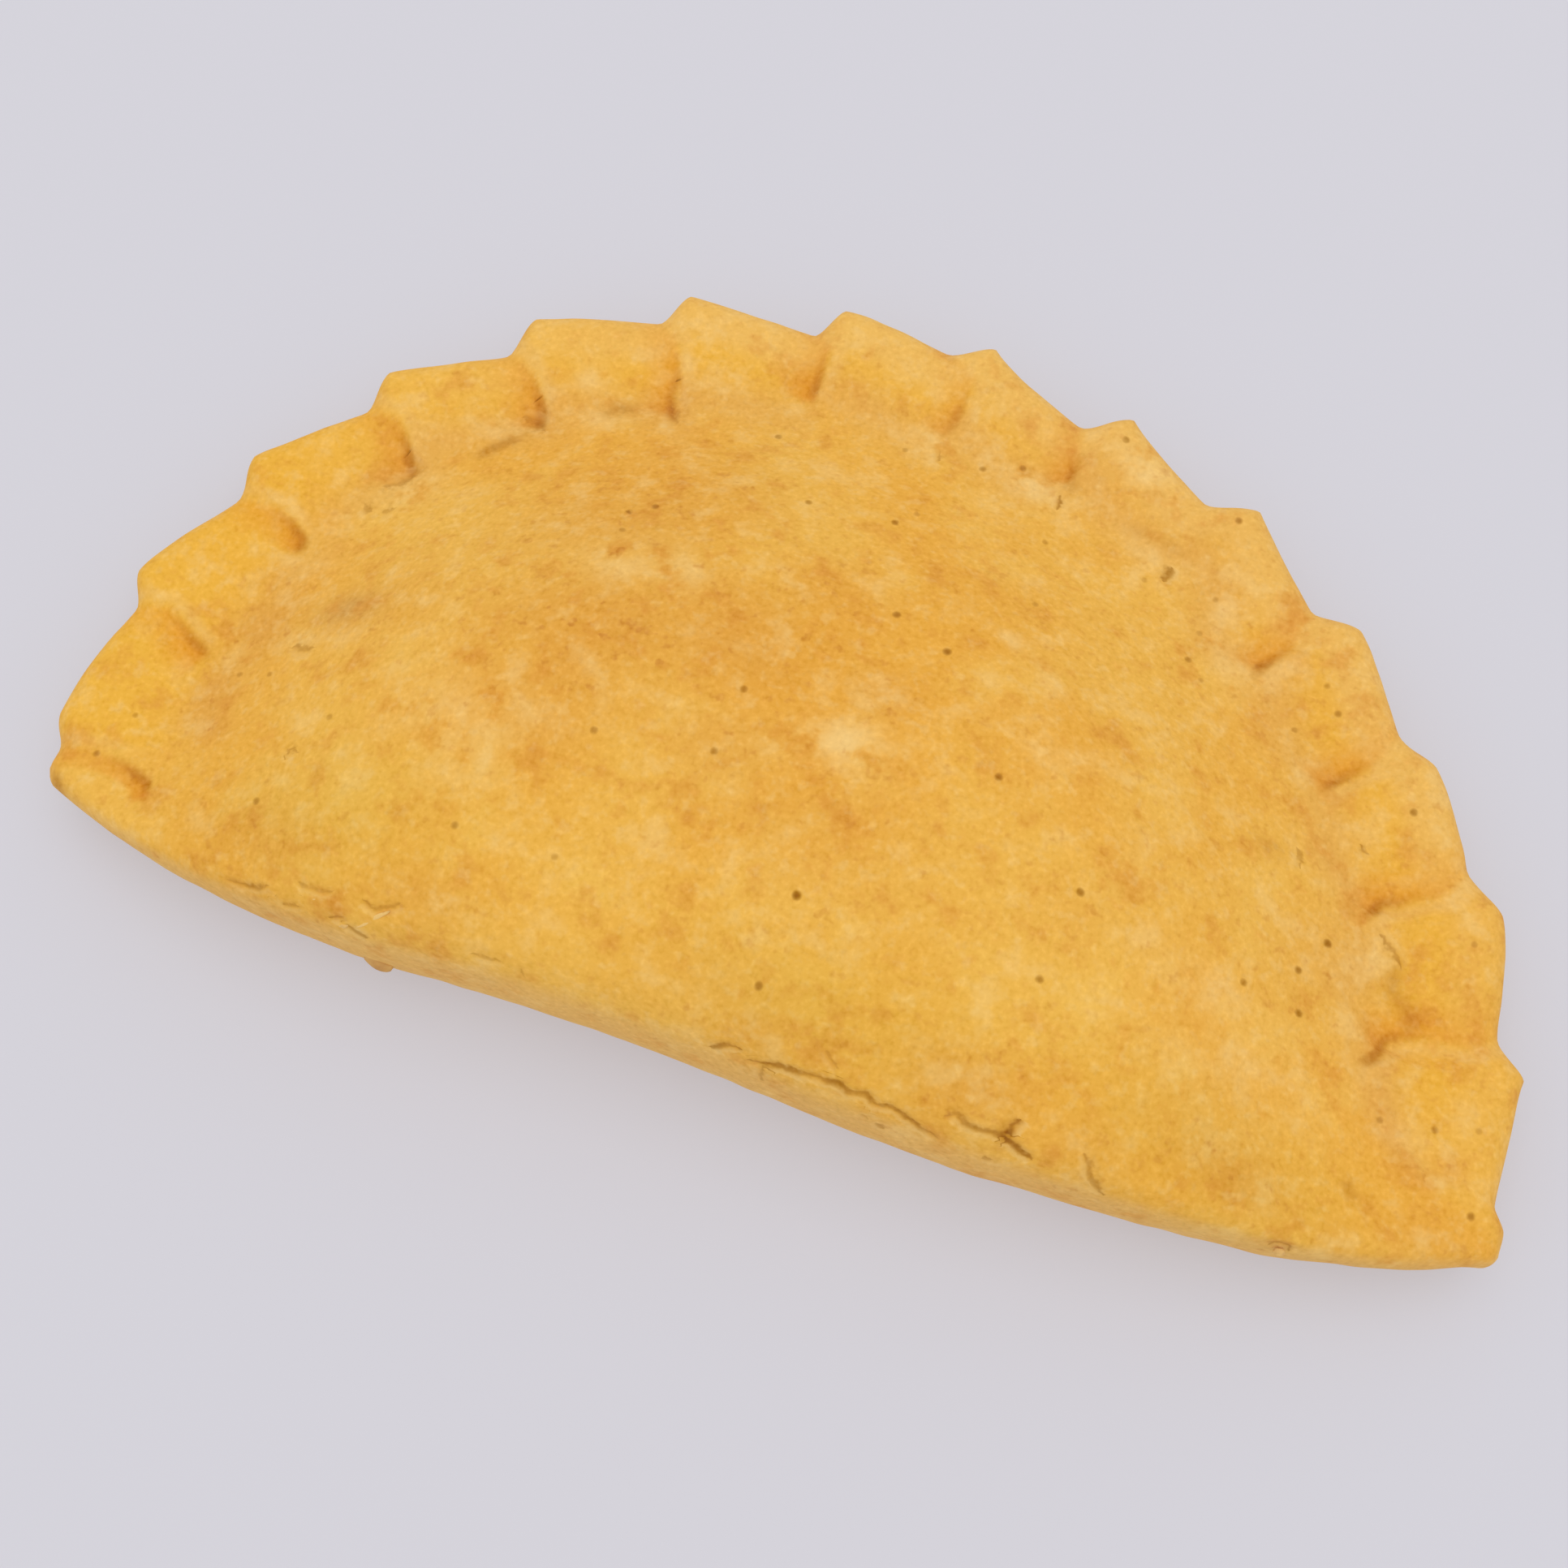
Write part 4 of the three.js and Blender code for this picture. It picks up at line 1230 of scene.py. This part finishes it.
@dataclass
class PleatSteps:
    """The pleats' overlap: a saw-tooth of steps along the rim, each from a ridge down to a crease.

    Lengths are in millimetres. The steps end over a stretch of two distances about the creases' reach.
    """

    outline: Outline
    creases: tuple[Crease, ...] = CREASES
    step_height: float = 1.1
    step_end: Spot = (-2.0, 1.5)
    ridge_round: float = 0.6
    ridge_steps: int = 7
    pit_gap: float = 1.2
    tab_crown: float = 0.15
    tab_middle: float = 5.0
    tab_width: float = 4.0

    def pits(self) -> Array:
        """Distances along the edge of the pits that the creases end in."""
        leans = np.array([crease.lean for crease in self.creases])
        return self.outline.tips[:-1] + self.outline.form.crease_phase * np.diff(self.outline.tips) + leans

    def reach(self) -> Array:
        """How far in the creases run, at each column."""
        return np.interp(self.outline.along, self.pits(), [crease.reach for crease in self.creases])

    def lines(self, along: Array, inset: Array) -> tuple[Array, ...]:
        """Which crease lies ahead of a place, and where its lines run at that distance from the edge.

        Args:
            along: Distances along the edge.
            inset: Distances in from it.

        Returns:
            The crease's number; and, as distances along the edge, the ridge behind the place, the valley
            ahead of it and the ridge ahead.
        """
        line = self.outline
        reach = np.array([crease.reach for crease in self.creases])
        reach, notch, pit, tip = (
            values[:, None, None] for values in (reach, line.notches, self.pits(), line.tips[1:])
        )
        share = np.clip(inset / reach, 0.0, 1.0)
        valleys = notch + (pit - notch) * share
        ridges = tip + (pit + self.pit_gap - tip) * share
        number = np.clip((along >= ridges).sum(axis=0), 0, len(self.creases) - 1)
        valley = np.take_along_axis(valleys, number[None], axis=0)[0]
        ridge = np.take_along_axis(ridges, number[None], axis=0)[0]
        behind = np.take_along_axis(ridges, np.maximum(number - 1, 0)[None], axis=0)[0]
        return number, np.where(number > 0, behind, line.tips[0]), valley, ridge

    def _lift(self, along: Array, inset: Array) -> Array:
        """0 on the ridges, falling evenly to each valley and climbing again with an eased step.

        Args:
            along: Distances along the edge.
            inset: Distances in from it.

        Returns:
            Shares of a step, 0 or less.
        """
        number, behind, valley, ridge = self.lines(along, inset)
        depth = np.array([crease.strength for crease in self.creases])[number]
        fall = (along - behind) / (valley - behind)
        climb = fade((along - valley) / (ridge - valley), 0.0, 1.0)
        return -depth * np.where(along < valley, fall, climb)

    def height(self, inset: Array) -> Array:
        """Height of the overlapping pleats over the rim's own level, with rounded ridges and valleys.

        Args:
            inset: Distances in from the outer edge, as rows by columns.

        Returns:
            Heights of the same shape.
        """
        line = self.outline
        lift = soft_mean(
            lambda slip: self._lift(line.along + slip * self.ridge_round, inset), self.ridge_steps
        )
        shown = fade(inset - self.reach(), *self.step_end) * line.pleated
        return self.step_height * (lift + 1.0 - self.outline.form.step_middle) * shown

    def crowns(self, inset: Array) -> Array:
        """Height of the tabs' crowns between the creases: a half sine along the edge, a bell across it.

        Args:
            inset: Distances in from the outer edge, as rows by columns.

        Returns:
            Heights of the same shape.
        """
        _, behind, valley, _ = self.lines(self.outline.along, inset)
        passed = np.clip((self.outline.along - behind) / (valley - behind), 0.0, 1.0)
        across = bell(inset - self.tab_middle, self.tab_width)
        return self.tab_crown * np.sin(np.pi * passed) * across * self.outline.pleated


@dataclass
class CrustMarks:
    """What the baked dough shows on its surface: fine relief, creases, cracks, specks and zones of colour.

    Lengths are in millimetres. Each bump has a height, a size and a seed. A field of two numbers is where
    something starts to rise or fall and where it ends; a zone of the rim is given in shares of the curved
    edge, from the left corner.
    """

    outline: Outline
    steps: PleatSteps
    bumps: tuple[Place, ...] = ((0.16, 6.0, 11.0), (0.07, 2.3, 23.0))
    bump_rise: Spot = (0.2, 3.0)
    groove_depth: float = 0.3
    groove_width: float = 0.6
    line_end: Spot = (2.0, 3.5)
    pit_end: Spot = (-0.8, 0.4)
    brown_start: Spot = (-0.4, 1.8)
    brown_run: Spot = (0.05, 0.65)
    shade_and_highlight_end: Spot = (-1.5, 1.5)
    crease_shade_loss: float = 0.75
    crease_shade_sides: Spot = (0.8, 1.2)
    ridge_highlight_loss: float = 0.4
    no_crease: float = 9.0
    crack_width: float = 0.5
    crack_end: Spot = (0.8, 1.6)
    crack_taper: float = 0.35
    no_crack: float = 3.0
    mark_depth: float = 0.08
    mark_share: float = 0.6
    chart_scale: float = 0.85
    rim_end: Spot = (-3.0, 1.0)
    wide_rim: float = 4.0
    wide_rim_zone: Spot = (0.1, 0.22)
    pale_end: Spot = (4.5, 8.0)
    pale_zone: Spot = (0.15, 0.42)
    pale_loss: float = 0.65
    pale_loss_zone: Spot = (0.78, 0.92)
    foot_middle: float = -0.3
    foot_width: float = 3.6
    dusty: Spot = (0.5, 0.85)
    dusty_zone: Spot = (0.14, 0.26)
    baked: float = 0.16
    baked_zone: Spot = (0.45, 0.6)
    fold_end: Spot = (0.2, 1.4)
    fold_under_end: Spot = (9.0, 18.0)
    cracks: tuple[Crack, ...] = CRACKS
    marks: tuple[Stroke, ...] = MARKS
    stains_and_hollow_shade: tuple[Stroke, ...] = STAINS_AND_HOLLOW_SHADE
    toast_and_foot_shade: tuple[Patch, ...] = TOAST_AND_FOOT_SHADE
    flour: tuple[Patch | Stroke, ...] = (*FLOUR, SCRATCH)
    grey_patch: tuple[Patch, ...] = GREY_PATCH
    shoulder_shade: tuple[Patch, ...] = SHOULDER_SHADE
    specks: tuple[Speck, ...] = SPECKS

    def details(self, points: Array, inset: Array, upper: Array) -> tuple[Array, dict[str, Array]]:
        """Fine relief along the normals, and the fields that colour the crust.

        Args:
            points: The smooth surface, as rows by columns by three.
            inset: Distances in from the outer edge.
            upper: 1 for the rows of the upper surface.

        Returns:
            Relief in millimetres; and, for each field, one number or three for each point.
        """
        x, y, z = np.moveaxis(points, -1, 0)
        within = fade(inset - self.steps.reach(), *self.shade_and_highlight_end)
        gap, creased = self._crease_marks(x, y)
        groove = bell(gap, self.groove_width) * creased[..., 0]
        crack, crack_depth = self._crack_marks(points)
        bumps = sum(height * lattice_noise(points / size, seed) for height, size, seed in self.bumps)
        relief = bumps * smoothstep(z, *self.bump_rise)
        relief += (self.steps.crowns(inset) - self.groove_depth * groove - crack_depth) * upper
        creased = creased * np.stack((np.ones_like(x), within, within), axis=-1) * upper[..., None]
        fields = {"gap": gap, "crease": creased, "crack": crack * upper[..., None]}
        return relief, fields | self._zones(x, y, inset, upper)

    def _zones(self, x: Array, y: Array, inset: Array, upper: Array) -> dict[str, Array]:
        """Masks from 0 to 1 of the zones that differ in colour, among them painted shade on the fold's shoulder
        and at the left foot, and painted bounce light on the fold.

        The rim's own colour runs in past the creases near the left corner, and is palest on the crest and
        baked darker on the right half. The foot of the body is dusty, least near the left corner.

        Args:
            x: Plan x of the points.
            y: Plan y of the points.
            inset: Their distances in from the outer edge.
            upper: 1 for the rows of the upper surface.

        Returns:
            One array of rows by columns for each mask.
        """
        line = self.outline
        share = line.along / line.edge_length
        foot = inset - self.steps.reach() - self.wide_rim * fade(share, *self.wide_rim_zone)
        pale = smoothstep(share, *self.pale_zone)
        pale = pale * (1.0 - self.pale_loss * smoothstep(share, *self.pale_loss_zone))
        least, most = self.dusty
        dusty = least + (most - least) * smoothstep(share, *self.dusty_zone)
        baked = self.baked * smoothstep(share, *self.baked_zone) * line.pleated
        # The fold's top edge and underside: partly paler dough, partly painted bounce light from the floor.
        folded = np.where(upper > 0.5, fade(inset, *self.fold_end), fade(inset, *self.fold_under_end))
        zones = {
            "rim": fade(foot, *self.rim_end) * line.pleated,
            "pale": pale * fade(inset, *self.pale_end),
            "foot": dusty * bell(foot - self.foot_middle, self.foot_width) * line.pleated * upper,
            "fold": line.fold * folded,
            "toast_and_foot_shade": np.maximum(self._cover(self.toast_and_foot_shade, x, y), baked) * upper,
        }
        spots = {"brown": self.stains_and_hollow_shade, "flour": self.flour, "grey_patch": self.grey_patch, "shoulder_shade": self.shoulder_shade}
        return zones | {name: self._cover(covers, x, y) * upper for name, covers in spots.items()}

    def _crease_marks(self, x: Array, y: Array) -> tuple[Array, Array]:
        """Signed distance to the nearest crease line, which is drawn on to its notch, and how it shows there.

        The line is dark near its pit: painted shade under the ridge's edge and in the pit, with some browning.
        The dough on its left carries painted orange shade, and that on its right a painted highlight on the
        ridge. All three weaken towards the notch, end at the pit and fade out between neighbouring lines.

        Args:
            x: Plan x of the points.
            y: Plan y of the points.

        Returns:
            Distances in millimetres, above 0 on the left, and the strengths of the dark line, the painted
            orange shade and the painted ridge highlight.
        """
        places = np.stack((x, y), axis=-1)
        gap = np.full(x.shape, self.no_crease)
        marks = np.zeros((*x.shape, 3))
        for crease, notch in zip(self.steps.creases, self.outline.notch_places()):
            if crease.line:
                path = np.array((*crease.line, notch))
                side, share = path_side(places, path)
                away, passed = np.abs(side), (places - path[0]) @ unit(path[1] - path[0])
                close = fade(away, *self.line_end)
                brown = crease.brown * fade(share, *self.brown_run) * smoothstep(passed, *self.brown_start)
                # Painted orange crease shade, weaker towards the notch and fading out to the sides.
                crease_shade = crease.crease_shade * (1.0 - self.crease_shade_loss * share)
                crease_shade = crease_shade * fade(away / crease.spread, *self.crease_shade_sides)
                # Painted highlight on the ridge right of the line, weaker towards the notch.
                ridge = 1.0 - self.ridge_highlight_loss * share
                shown = np.stack((brown * close, crease_shade, ridge * close), axis=-1)
                shown *= smoothstep(passed, *self.pit_end)[..., None]
                nearer = away < np.abs(gap)
                marks = np.where(nearer[..., None], shown, marks)
                gap = np.where(nearer, side, gap)
        return gap, marks

    def _crack_marks(self, points: Array) -> tuple[Array, Array]:
        """Where the nearest crack or thin mark runs, and the depth of its groove.

        Distances are taken on a chart of x against the scaled sum of y and z, which unrolls the shoulder of
        the fold. The half width is tapered to nothing at a line's two ends.

        Args:
            points: The surface, as rows by columns by three.

        Returns:
            The signed distance, the half width and the darkness, on the last axis; and the depths.
        """
        chart = self._chart(points)
        side = np.full(points.shape[:-1], self.no_crack)
        opening, dark, depth = np.zeros((3, *side.shape))
        for item in (*self.cracks, *map(self._as_crack, self.marks)):
            gap, share = path_side(chart, self._chart(np.array(item.path)))
            taper = np.clip(4.0 * share * (1.0 - share), 0.0, 1.0) ** self.crack_taper
            nearer = np.abs(gap) < np.abs(side)
            opening = np.where(nearer, item.width * taper * fade(np.abs(gap), *self.crack_end), opening)
            dark = np.where(nearer, item.dark, dark)
            side = np.where(nearer, gap, side)
            depth = np.maximum(depth, item.depth * taper * bell(gap, self.crack_width))
        return np.stack((side, opening, dark), axis=-1), depth

    def _as_crack(self, mark: Stroke) -> Crack:
        """A thin mark as a shallow crack, laid on the plain top of the pastry.

        Args:
            mark: The mark.

        Returns:
            The crack.
        """
        x, y = np.array(mark.path).T
        z = self.outline.form.plain_top(x, y, np.full(len(x), self.outline.form.rim_width))
        path = tuple(zip(x.tolist(), y.tolist(), z.tolist()))
        return Crack(path, self.mark_share * mark.width, self.mark_depth, mark.strength)

    def _chart(self, places: Array) -> Array:
        """Unrolls places on the shoulder: x, and the scaled sum of y and z."""
        return np.stack((places[..., 0], self.chart_scale * (places[..., 1] + places[..., 2])), axis=-1)

    def speck_marks(self, points: Array, upper: Array) -> Array:
        """Each point's plan offset from the nearest speck, in radii of that speck, and the speck's strength.

        The strength is kept only where a point and all its neighbours on the grid have the same nearest
        speck, so offsets from two specks are never blended where it is above 0.

        Args:
            points: The surface, as rows by columns by three.
            upper: 1 for the rows of the upper surface.

        Returns:
            Three numbers on the last axis.
        """
        specks = np.array([astuple(speck) for speck in self.specks])
        away = points[..., None, :2] - specks[:, :2]
        nearest = np.linalg.norm(away, axis=-1).argmin(axis=-1)
        offset = np.take_along_axis(away, nearest[..., None, None], axis=2)[..., 0, :] / specks[nearest, 2:3]
        strength = upper * specks[nearest, 3]
        for shift in itertools.product((-1, 0, 1), repeat=2):
            strength = strength * (np.roll(nearest, shift, axis=(0, 1)) == nearest)
        return np.concatenate((offset, strength[..., None]), axis=-1)

    @staticmethod
    def _cover(spots: tuple[Patch | Stroke, ...], x: Array, y: Array) -> Array:
        """How much of any of the spots or lines lies on each place, from 0 to 1."""
        return np.clip(np.maximum.reduce([spot.cover(x, y) for spot in spots]), 0.0, 1.0)


@dataclass
class Crust:
    """The whole pastry as one closed surface in millimetres, with relief, browning, painted shade and
    highlights.
    """

    outline: Outline
    steps: PleatSteps
    marks: CrustMarks
    finish: CrustFinish
    body_rows: int = 56
    rim_rows: int = 46
    under_rows: int = 18
    base_rows: int = 5
    edge_lift: float = 0.45
    edge_lift_run: float = 6.0

    def build(self) -> bpy.types.Object:
        """Makes the crust, with the fields that colour it stored on its points.

        Returns:
            The new object.
        """
        points, inset, upper = self._base_points()
        relief, fields = self.marks.details(points, inset, upper)
        points = points + self._normals(points) * relief[..., None]
        fields["speck"] = self.marks.speck_marks(points, upper)
        joined = self._with_poles(points)
        joined[-1] = (*self.outline.form.centre, 0.0)
        joined[:, :2] -= self.outline.middle
        stored = {name: self._with_poles(values) for name, values in fields.items()}
        faces = ball_faces(*points.shape[:2])
        return add_piece(NODE + "_crust", joined, faces, self.finish.material(), stored)

    @staticmethod
    def _with_poles(values: Array) -> Array:
        """The grid's values in one list, between the means of its first and its last row."""
        poles = values[[0, -1]].mean(axis=1)
        return np.concatenate((poles[:1], values.reshape(-1, *values.shape[2:]), poles[1:]))

    @staticmethod
    def _normals(points: Array) -> Array:
        """Outward unit normals of the grid: the cross product of its two directions."""
        around = np.roll(points, -1, axis=1) - np.roll(points, 1, axis=1)
        return unit(np.cross(around, np.gradient(points, axis=0)))

    def _base_points(self) -> tuple[Array, Array, Array]:
        """The smooth closed surface with its stepped pleats, before any fine relief.

        Returns:
            Points, as rows by columns by three; their distances in from the outer edge; and 1 for the rows
            of the upper surface, 0 for those below.
        """
        form, line = self.outline.form, self.outline
        centre = np.array(form.centre)
        rim = np.linalg.norm(line.outer - line.inner, axis=-1)
        spoke = np.linalg.norm(line.inner - centre, axis=-1)
        body = np.sin(np.pi / 2.0 * np.arange(1, self.body_rows + 1) / self.body_rows)[:, None]
        edge = (1.0 - (1.0 - np.arange(1, self.rim_rows + 1) / self.rim_rows) ** 2)[:, None]
        body_places = centre + (line.inner - centre) * body[..., None]
        rim_places = line.inner + (line.outer - line.inner) * edge[..., None]
        places = np.concatenate((body_places, rim_places))
        inset = np.concatenate((rim + (1.0 - body) * spoke, (1.0 - edge) * rim))
        rounding = form.half_thickness(inset) / (form.rim_thickness / 2.0)
        steps = self.steps.height(inset) * (self.edge_lift + (1.0 - self.edge_lift) * rounding)
        z = form.plain_top(places[..., 0], places[..., 1], inset) + steps
        top = np.concatenate((places, z[..., None]), axis=-1)
        below = (form.rim_under_run * (np.arange(1, self.under_rows + 1) / self.under_rows) ** 2)[:, None]
        below = below * np.ones(len(rim))
        under = self._under(below, rim)
        base = np.repeat(below[-1:], len(under) - self.under_rows, axis=0)
        upper = np.concatenate((np.ones(len(top)), np.zeros(len(under))))[:, None]
        return np.concatenate((top, under)), np.concatenate((inset, below, base)), upper

    def _under(self, inset: Array, rim: Array) -> Array:
        """The underside: a quarter round from the fold, a slope from the rim, and the flat base.

        Args:
            inset: Distances in from the outer edge, as rows by columns.
            rim: The rim's width at each column.

        Returns:
            Points, as rows by columns by three.
        """
        form, line = self.outline.form, self.outline
        within = np.minimum(inset / rim, 1.0)[..., None]
        beyond = np.maximum(inset - rim, 0.0)[..., None]
        places = line.outer + (line.inner - line.outer) * within + line.to_centre(line.inner) * beyond
        lifted = self.edge_lift * self.steps.height(0.0 * inset) * fade(inset, 0.0, self.edge_lift_run)
        lowered = form.seam_height(*line.outer.T) - form.half_thickness(inset) + lifted
        fold_out = 1.0 - np.minimum(inset / form.fold_under_round, 1.0)
        rim_out = 1.0 - np.minimum(inset / form.rim_under_run, 1.0)
        fold_share = 1.0 - np.sqrt(1.0 - fold_out**2)
        rim_share = rim_out**form.rim_under_power
        z = lowered * (rim_share + (fold_share - rim_share) * line.fold)
        slope = np.concatenate((places, z[..., None]), axis=-1)
        centre = np.array([*form.centre, 0.0])
        inward = (np.arange(1, self.base_rows) / self.base_rows)[:, None, None]
        return np.concatenate((slope, slope[-1] + (centre - slope[-1]) * inward))


@dataclass(frozen=True)
class Flake:
    """A loose flake of crust between two places, in millimetres, with its paleness and the way it faces."""

    start: Place
    end: Place
    width: float
    thickness: float
    tone: float
    facing: Place = (0.0, -0.7, 0.7)


FLAKES = (
    Flake((-37.2, -7.0, 9.7), (-34.5, -7.2, 8.7), 1.7, 1.3, 0.35, (0.0, -0.9, 0.4)),
    Flake((-36.9, -6.1, 17.5), (-34.1, -4.4, 20.1), 0.5, 0.3, 1.0),
    Flake((-42.4, -5.2, 17.6), (-41.2, -4.9, 18.2), 0.5, 0.3, 0.9),
    Flake((-39.0, -6.3, 16.5), (-38.0, -6.2, 16.9), 0.6, 0.3, 0.8),
    Flake((53.3, -6.1, 12.1), (54.4, -6.0, 11.7), 0.8, 0.6, 0.5),
)


@dataclass
class LooseFlakes:
    """Small flakes that lie on the shoulder among its cracks or hang from the fold."""

    middle: Array
    finish: CrustFinish
    flakes: tuple[Flake, ...] = FLAKES
    rings: int = 12
    sides: int = 20
    unevenness: float = 0.3
    bumps_a_radius: float = 1.7
    seed: float = 5.0

    def build(self) -> bpy.types.Object:
        """Makes all the flakes as one mesh.

        Returns:
            The new object.
        """
        points = np.concatenate([self._points(flake) for flake in self.flakes])
        points[:, :2] -= self.middle
        count = self.rings * self.sides + 2
        balls = (ball_faces(self.rings, self.sides, first) for first in range(0, len(points), count))
        faces = list(itertools.chain.from_iterable(balls))
        tones = np.repeat([flake.tone for flake in self.flakes], count)
        return add_piece(NODE + "_flakes", points, faces, self.finish.flake_material(), {"tone": tones})

    def _points(self, flake: Flake) -> Array:
        """A flattened ball between the flake's two places, made uneven with smooth noise.

        Args:
            flake: The flake.

        Returns:
            Points, from one pole to the other.
        """
        start, end, facing = (np.array(place) for place in (flake.start, flake.end, flake.facing))
        long = unit(end - start)
        across = unit(np.cross(facing, long))
        polar = np.pi * np.arange(1, self.rings + 1)[:, None] / (self.rings + 1)
        turn = 2.0 * np.pi * np.arange(self.sides)[None, :] / self.sides
        sides = (np.sin(polar) * np.cos(turn), -np.sin(polar) * np.sin(turn), np.cos(polar) + 0.0 * turn)
        ball = np.stack(sides, axis=-1).reshape(-1, 3)
        ball = np.concatenate(([[0.0, 0.0, 1.0]], ball, [[0.0, 0.0, -1.0]]))
        ball *= 1.0 + self.unevenness * lattice_noise(ball * self.bumps_a_radius + start, self.seed)[:, None]
        half = np.array((np.linalg.norm(end - start), flake.width, flake.thickness)) / 2.0
        return (start + end) / 2.0 + (ball * half) @ np.stack((long, across, np.cross(long, across)))


@dataclass
class Setting:
    """Pale floor, soft studio light and the camera.

    The floor, the camera's aim and its distance are in millimetres, the lamp and the clipping in metres.
    """

    middle: Array
    form: PastryForm
    floor_half: float = 3000.0
    floor_colour: Display = (213, 211, 218)
    floor_glow: float = 0.47
    floor_roughness: float = 0.9
    floor_specular: float = 0.2
    sky_colour: Tone = (0.97, 0.98, 1.0, 1.0)
    sky_strength: float = 0.84
    lamp_place: Place = (0.05, 0.0, 1.2)
    lamp_size: float = 1.2
    lamp_energy: float = 3.5
    aim: Spot = (-4.84, 24.27)
    azimuth: float = 19.0
    elevation: float = 70.2
    distance: float = 222.0
    lens: float = 50.0
    sensor: float = 36.0
    clip_start: float = 0.005

    def build(self) -> None:
        """Makes the floor, the light and the camera."""
        self._floor()
        self._light()
        self._camera()

    def _floor(self) -> None:
        """A wide plain light table at the height of the base: a pale sheet that is partly lit from below."""
        half, tone = self.floor_half, linear(self.floor_colour)
        corners = np.array([(-half, -half, 0.0), (half, -half, 0.0), (half, half, 0.0), (-half, half, 0.0)])
        material = NodeBook("pale floor").shaded(
            {
                "Base Color": (*(channel * (1.0 - self.floor_glow) for channel in tone[:3]), 1.0),
                "Emission Color": tone,
                "Emission Strength": self.floor_glow,
                "Roughness": self.floor_roughness,
                "Specular IOR Level": self.floor_specular,
            }
        )
        floor = add_piece("floor", corners, [[0, 1, 2, 3]], material, {})

    def _light(self) -> None:
        """An even pale sky and one large soft lamp above."""
        scene = bpy.context.scene
        world = bpy.data.worlds.new("soft sky")
        world.use_nodes = True
        sky = world.node_tree.nodes["Background"]
        sky.inputs["Color"].default_value = self.sky_colour
        sky.inputs["Strength"].default_value = self.sky_strength
        scene.world = world
        scene.view_settings.view_transform = "Standard"
        lamp = bpy.data.lights.new("soft lamp", "AREA")
        lamp.energy = self.lamp_energy
        lamp.size = self.lamp_size
        holder = bpy.data.objects.new("soft lamp", lamp)
        holder.location = self.lamp_place
        holder.rotation_euler = (-Vector(self.lamp_place)).to_track_quat("-Z", "Y").to_euler()
        scene.collection.objects.link(holder)

    def _camera(self) -> None:
        """Looks down on the pastry along the photo's line of sight, with no roll."""
        scene = bpy.context.scene
        target = Vector((*(np.array(self.aim) - self.middle), self.form.rim_middle)) * MM
        turn, rise = math.radians(self.azimuth), math.radians(self.elevation)
        back = Vector((math.sin(turn) * math.cos(rise), -math.cos(turn) * math.cos(rise), math.sin(rise)))
        right = Vector((math.cos(turn), math.sin(turn), 0.0))
        camera = bpy.data.cameras.new("photo view")
        camera.lens = self.lens
        camera.sensor_width = self.sensor
        camera.sensor_fit = "HORIZONTAL"
        camera.clip_start = self.clip_start
        holder = bpy.data.objects.new("photo view", camera)
        turned = Matrix((right, back.cross(right), back)).transposed().to_4x4()
        holder.matrix_world = Matrix.Translation(target + back * self.distance * MM) @ turned
        scene.collection.objects.link(holder)
        scene.camera = holder


def main() -> None:
    """Loads the frame, builds the crust, its flakes and the setting, and logs each piece's points and faces."""
    logging.basicConfig(level=logging.INFO, format="%(name)s: %(message)s")
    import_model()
    form = PastryForm()
    outline = Outline(form)
    steps = PleatSteps(outline)
    crust = Crust(outline, steps, CrustMarks(outline, steps), CrustFinish())
    pieces = [crust.build(), LooseFlakes(outline.middle, crust.finish).build()]
    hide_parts(NODE)
    for piece in pieces:
        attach(piece, BODY)
        LOG.info("%s: %d points, %d faces", piece.name, len(piece.data.vertices), len(piece.data.polygons))
    Setting(outline.middle, form).build()


if __name__ == "__main__":
    main()
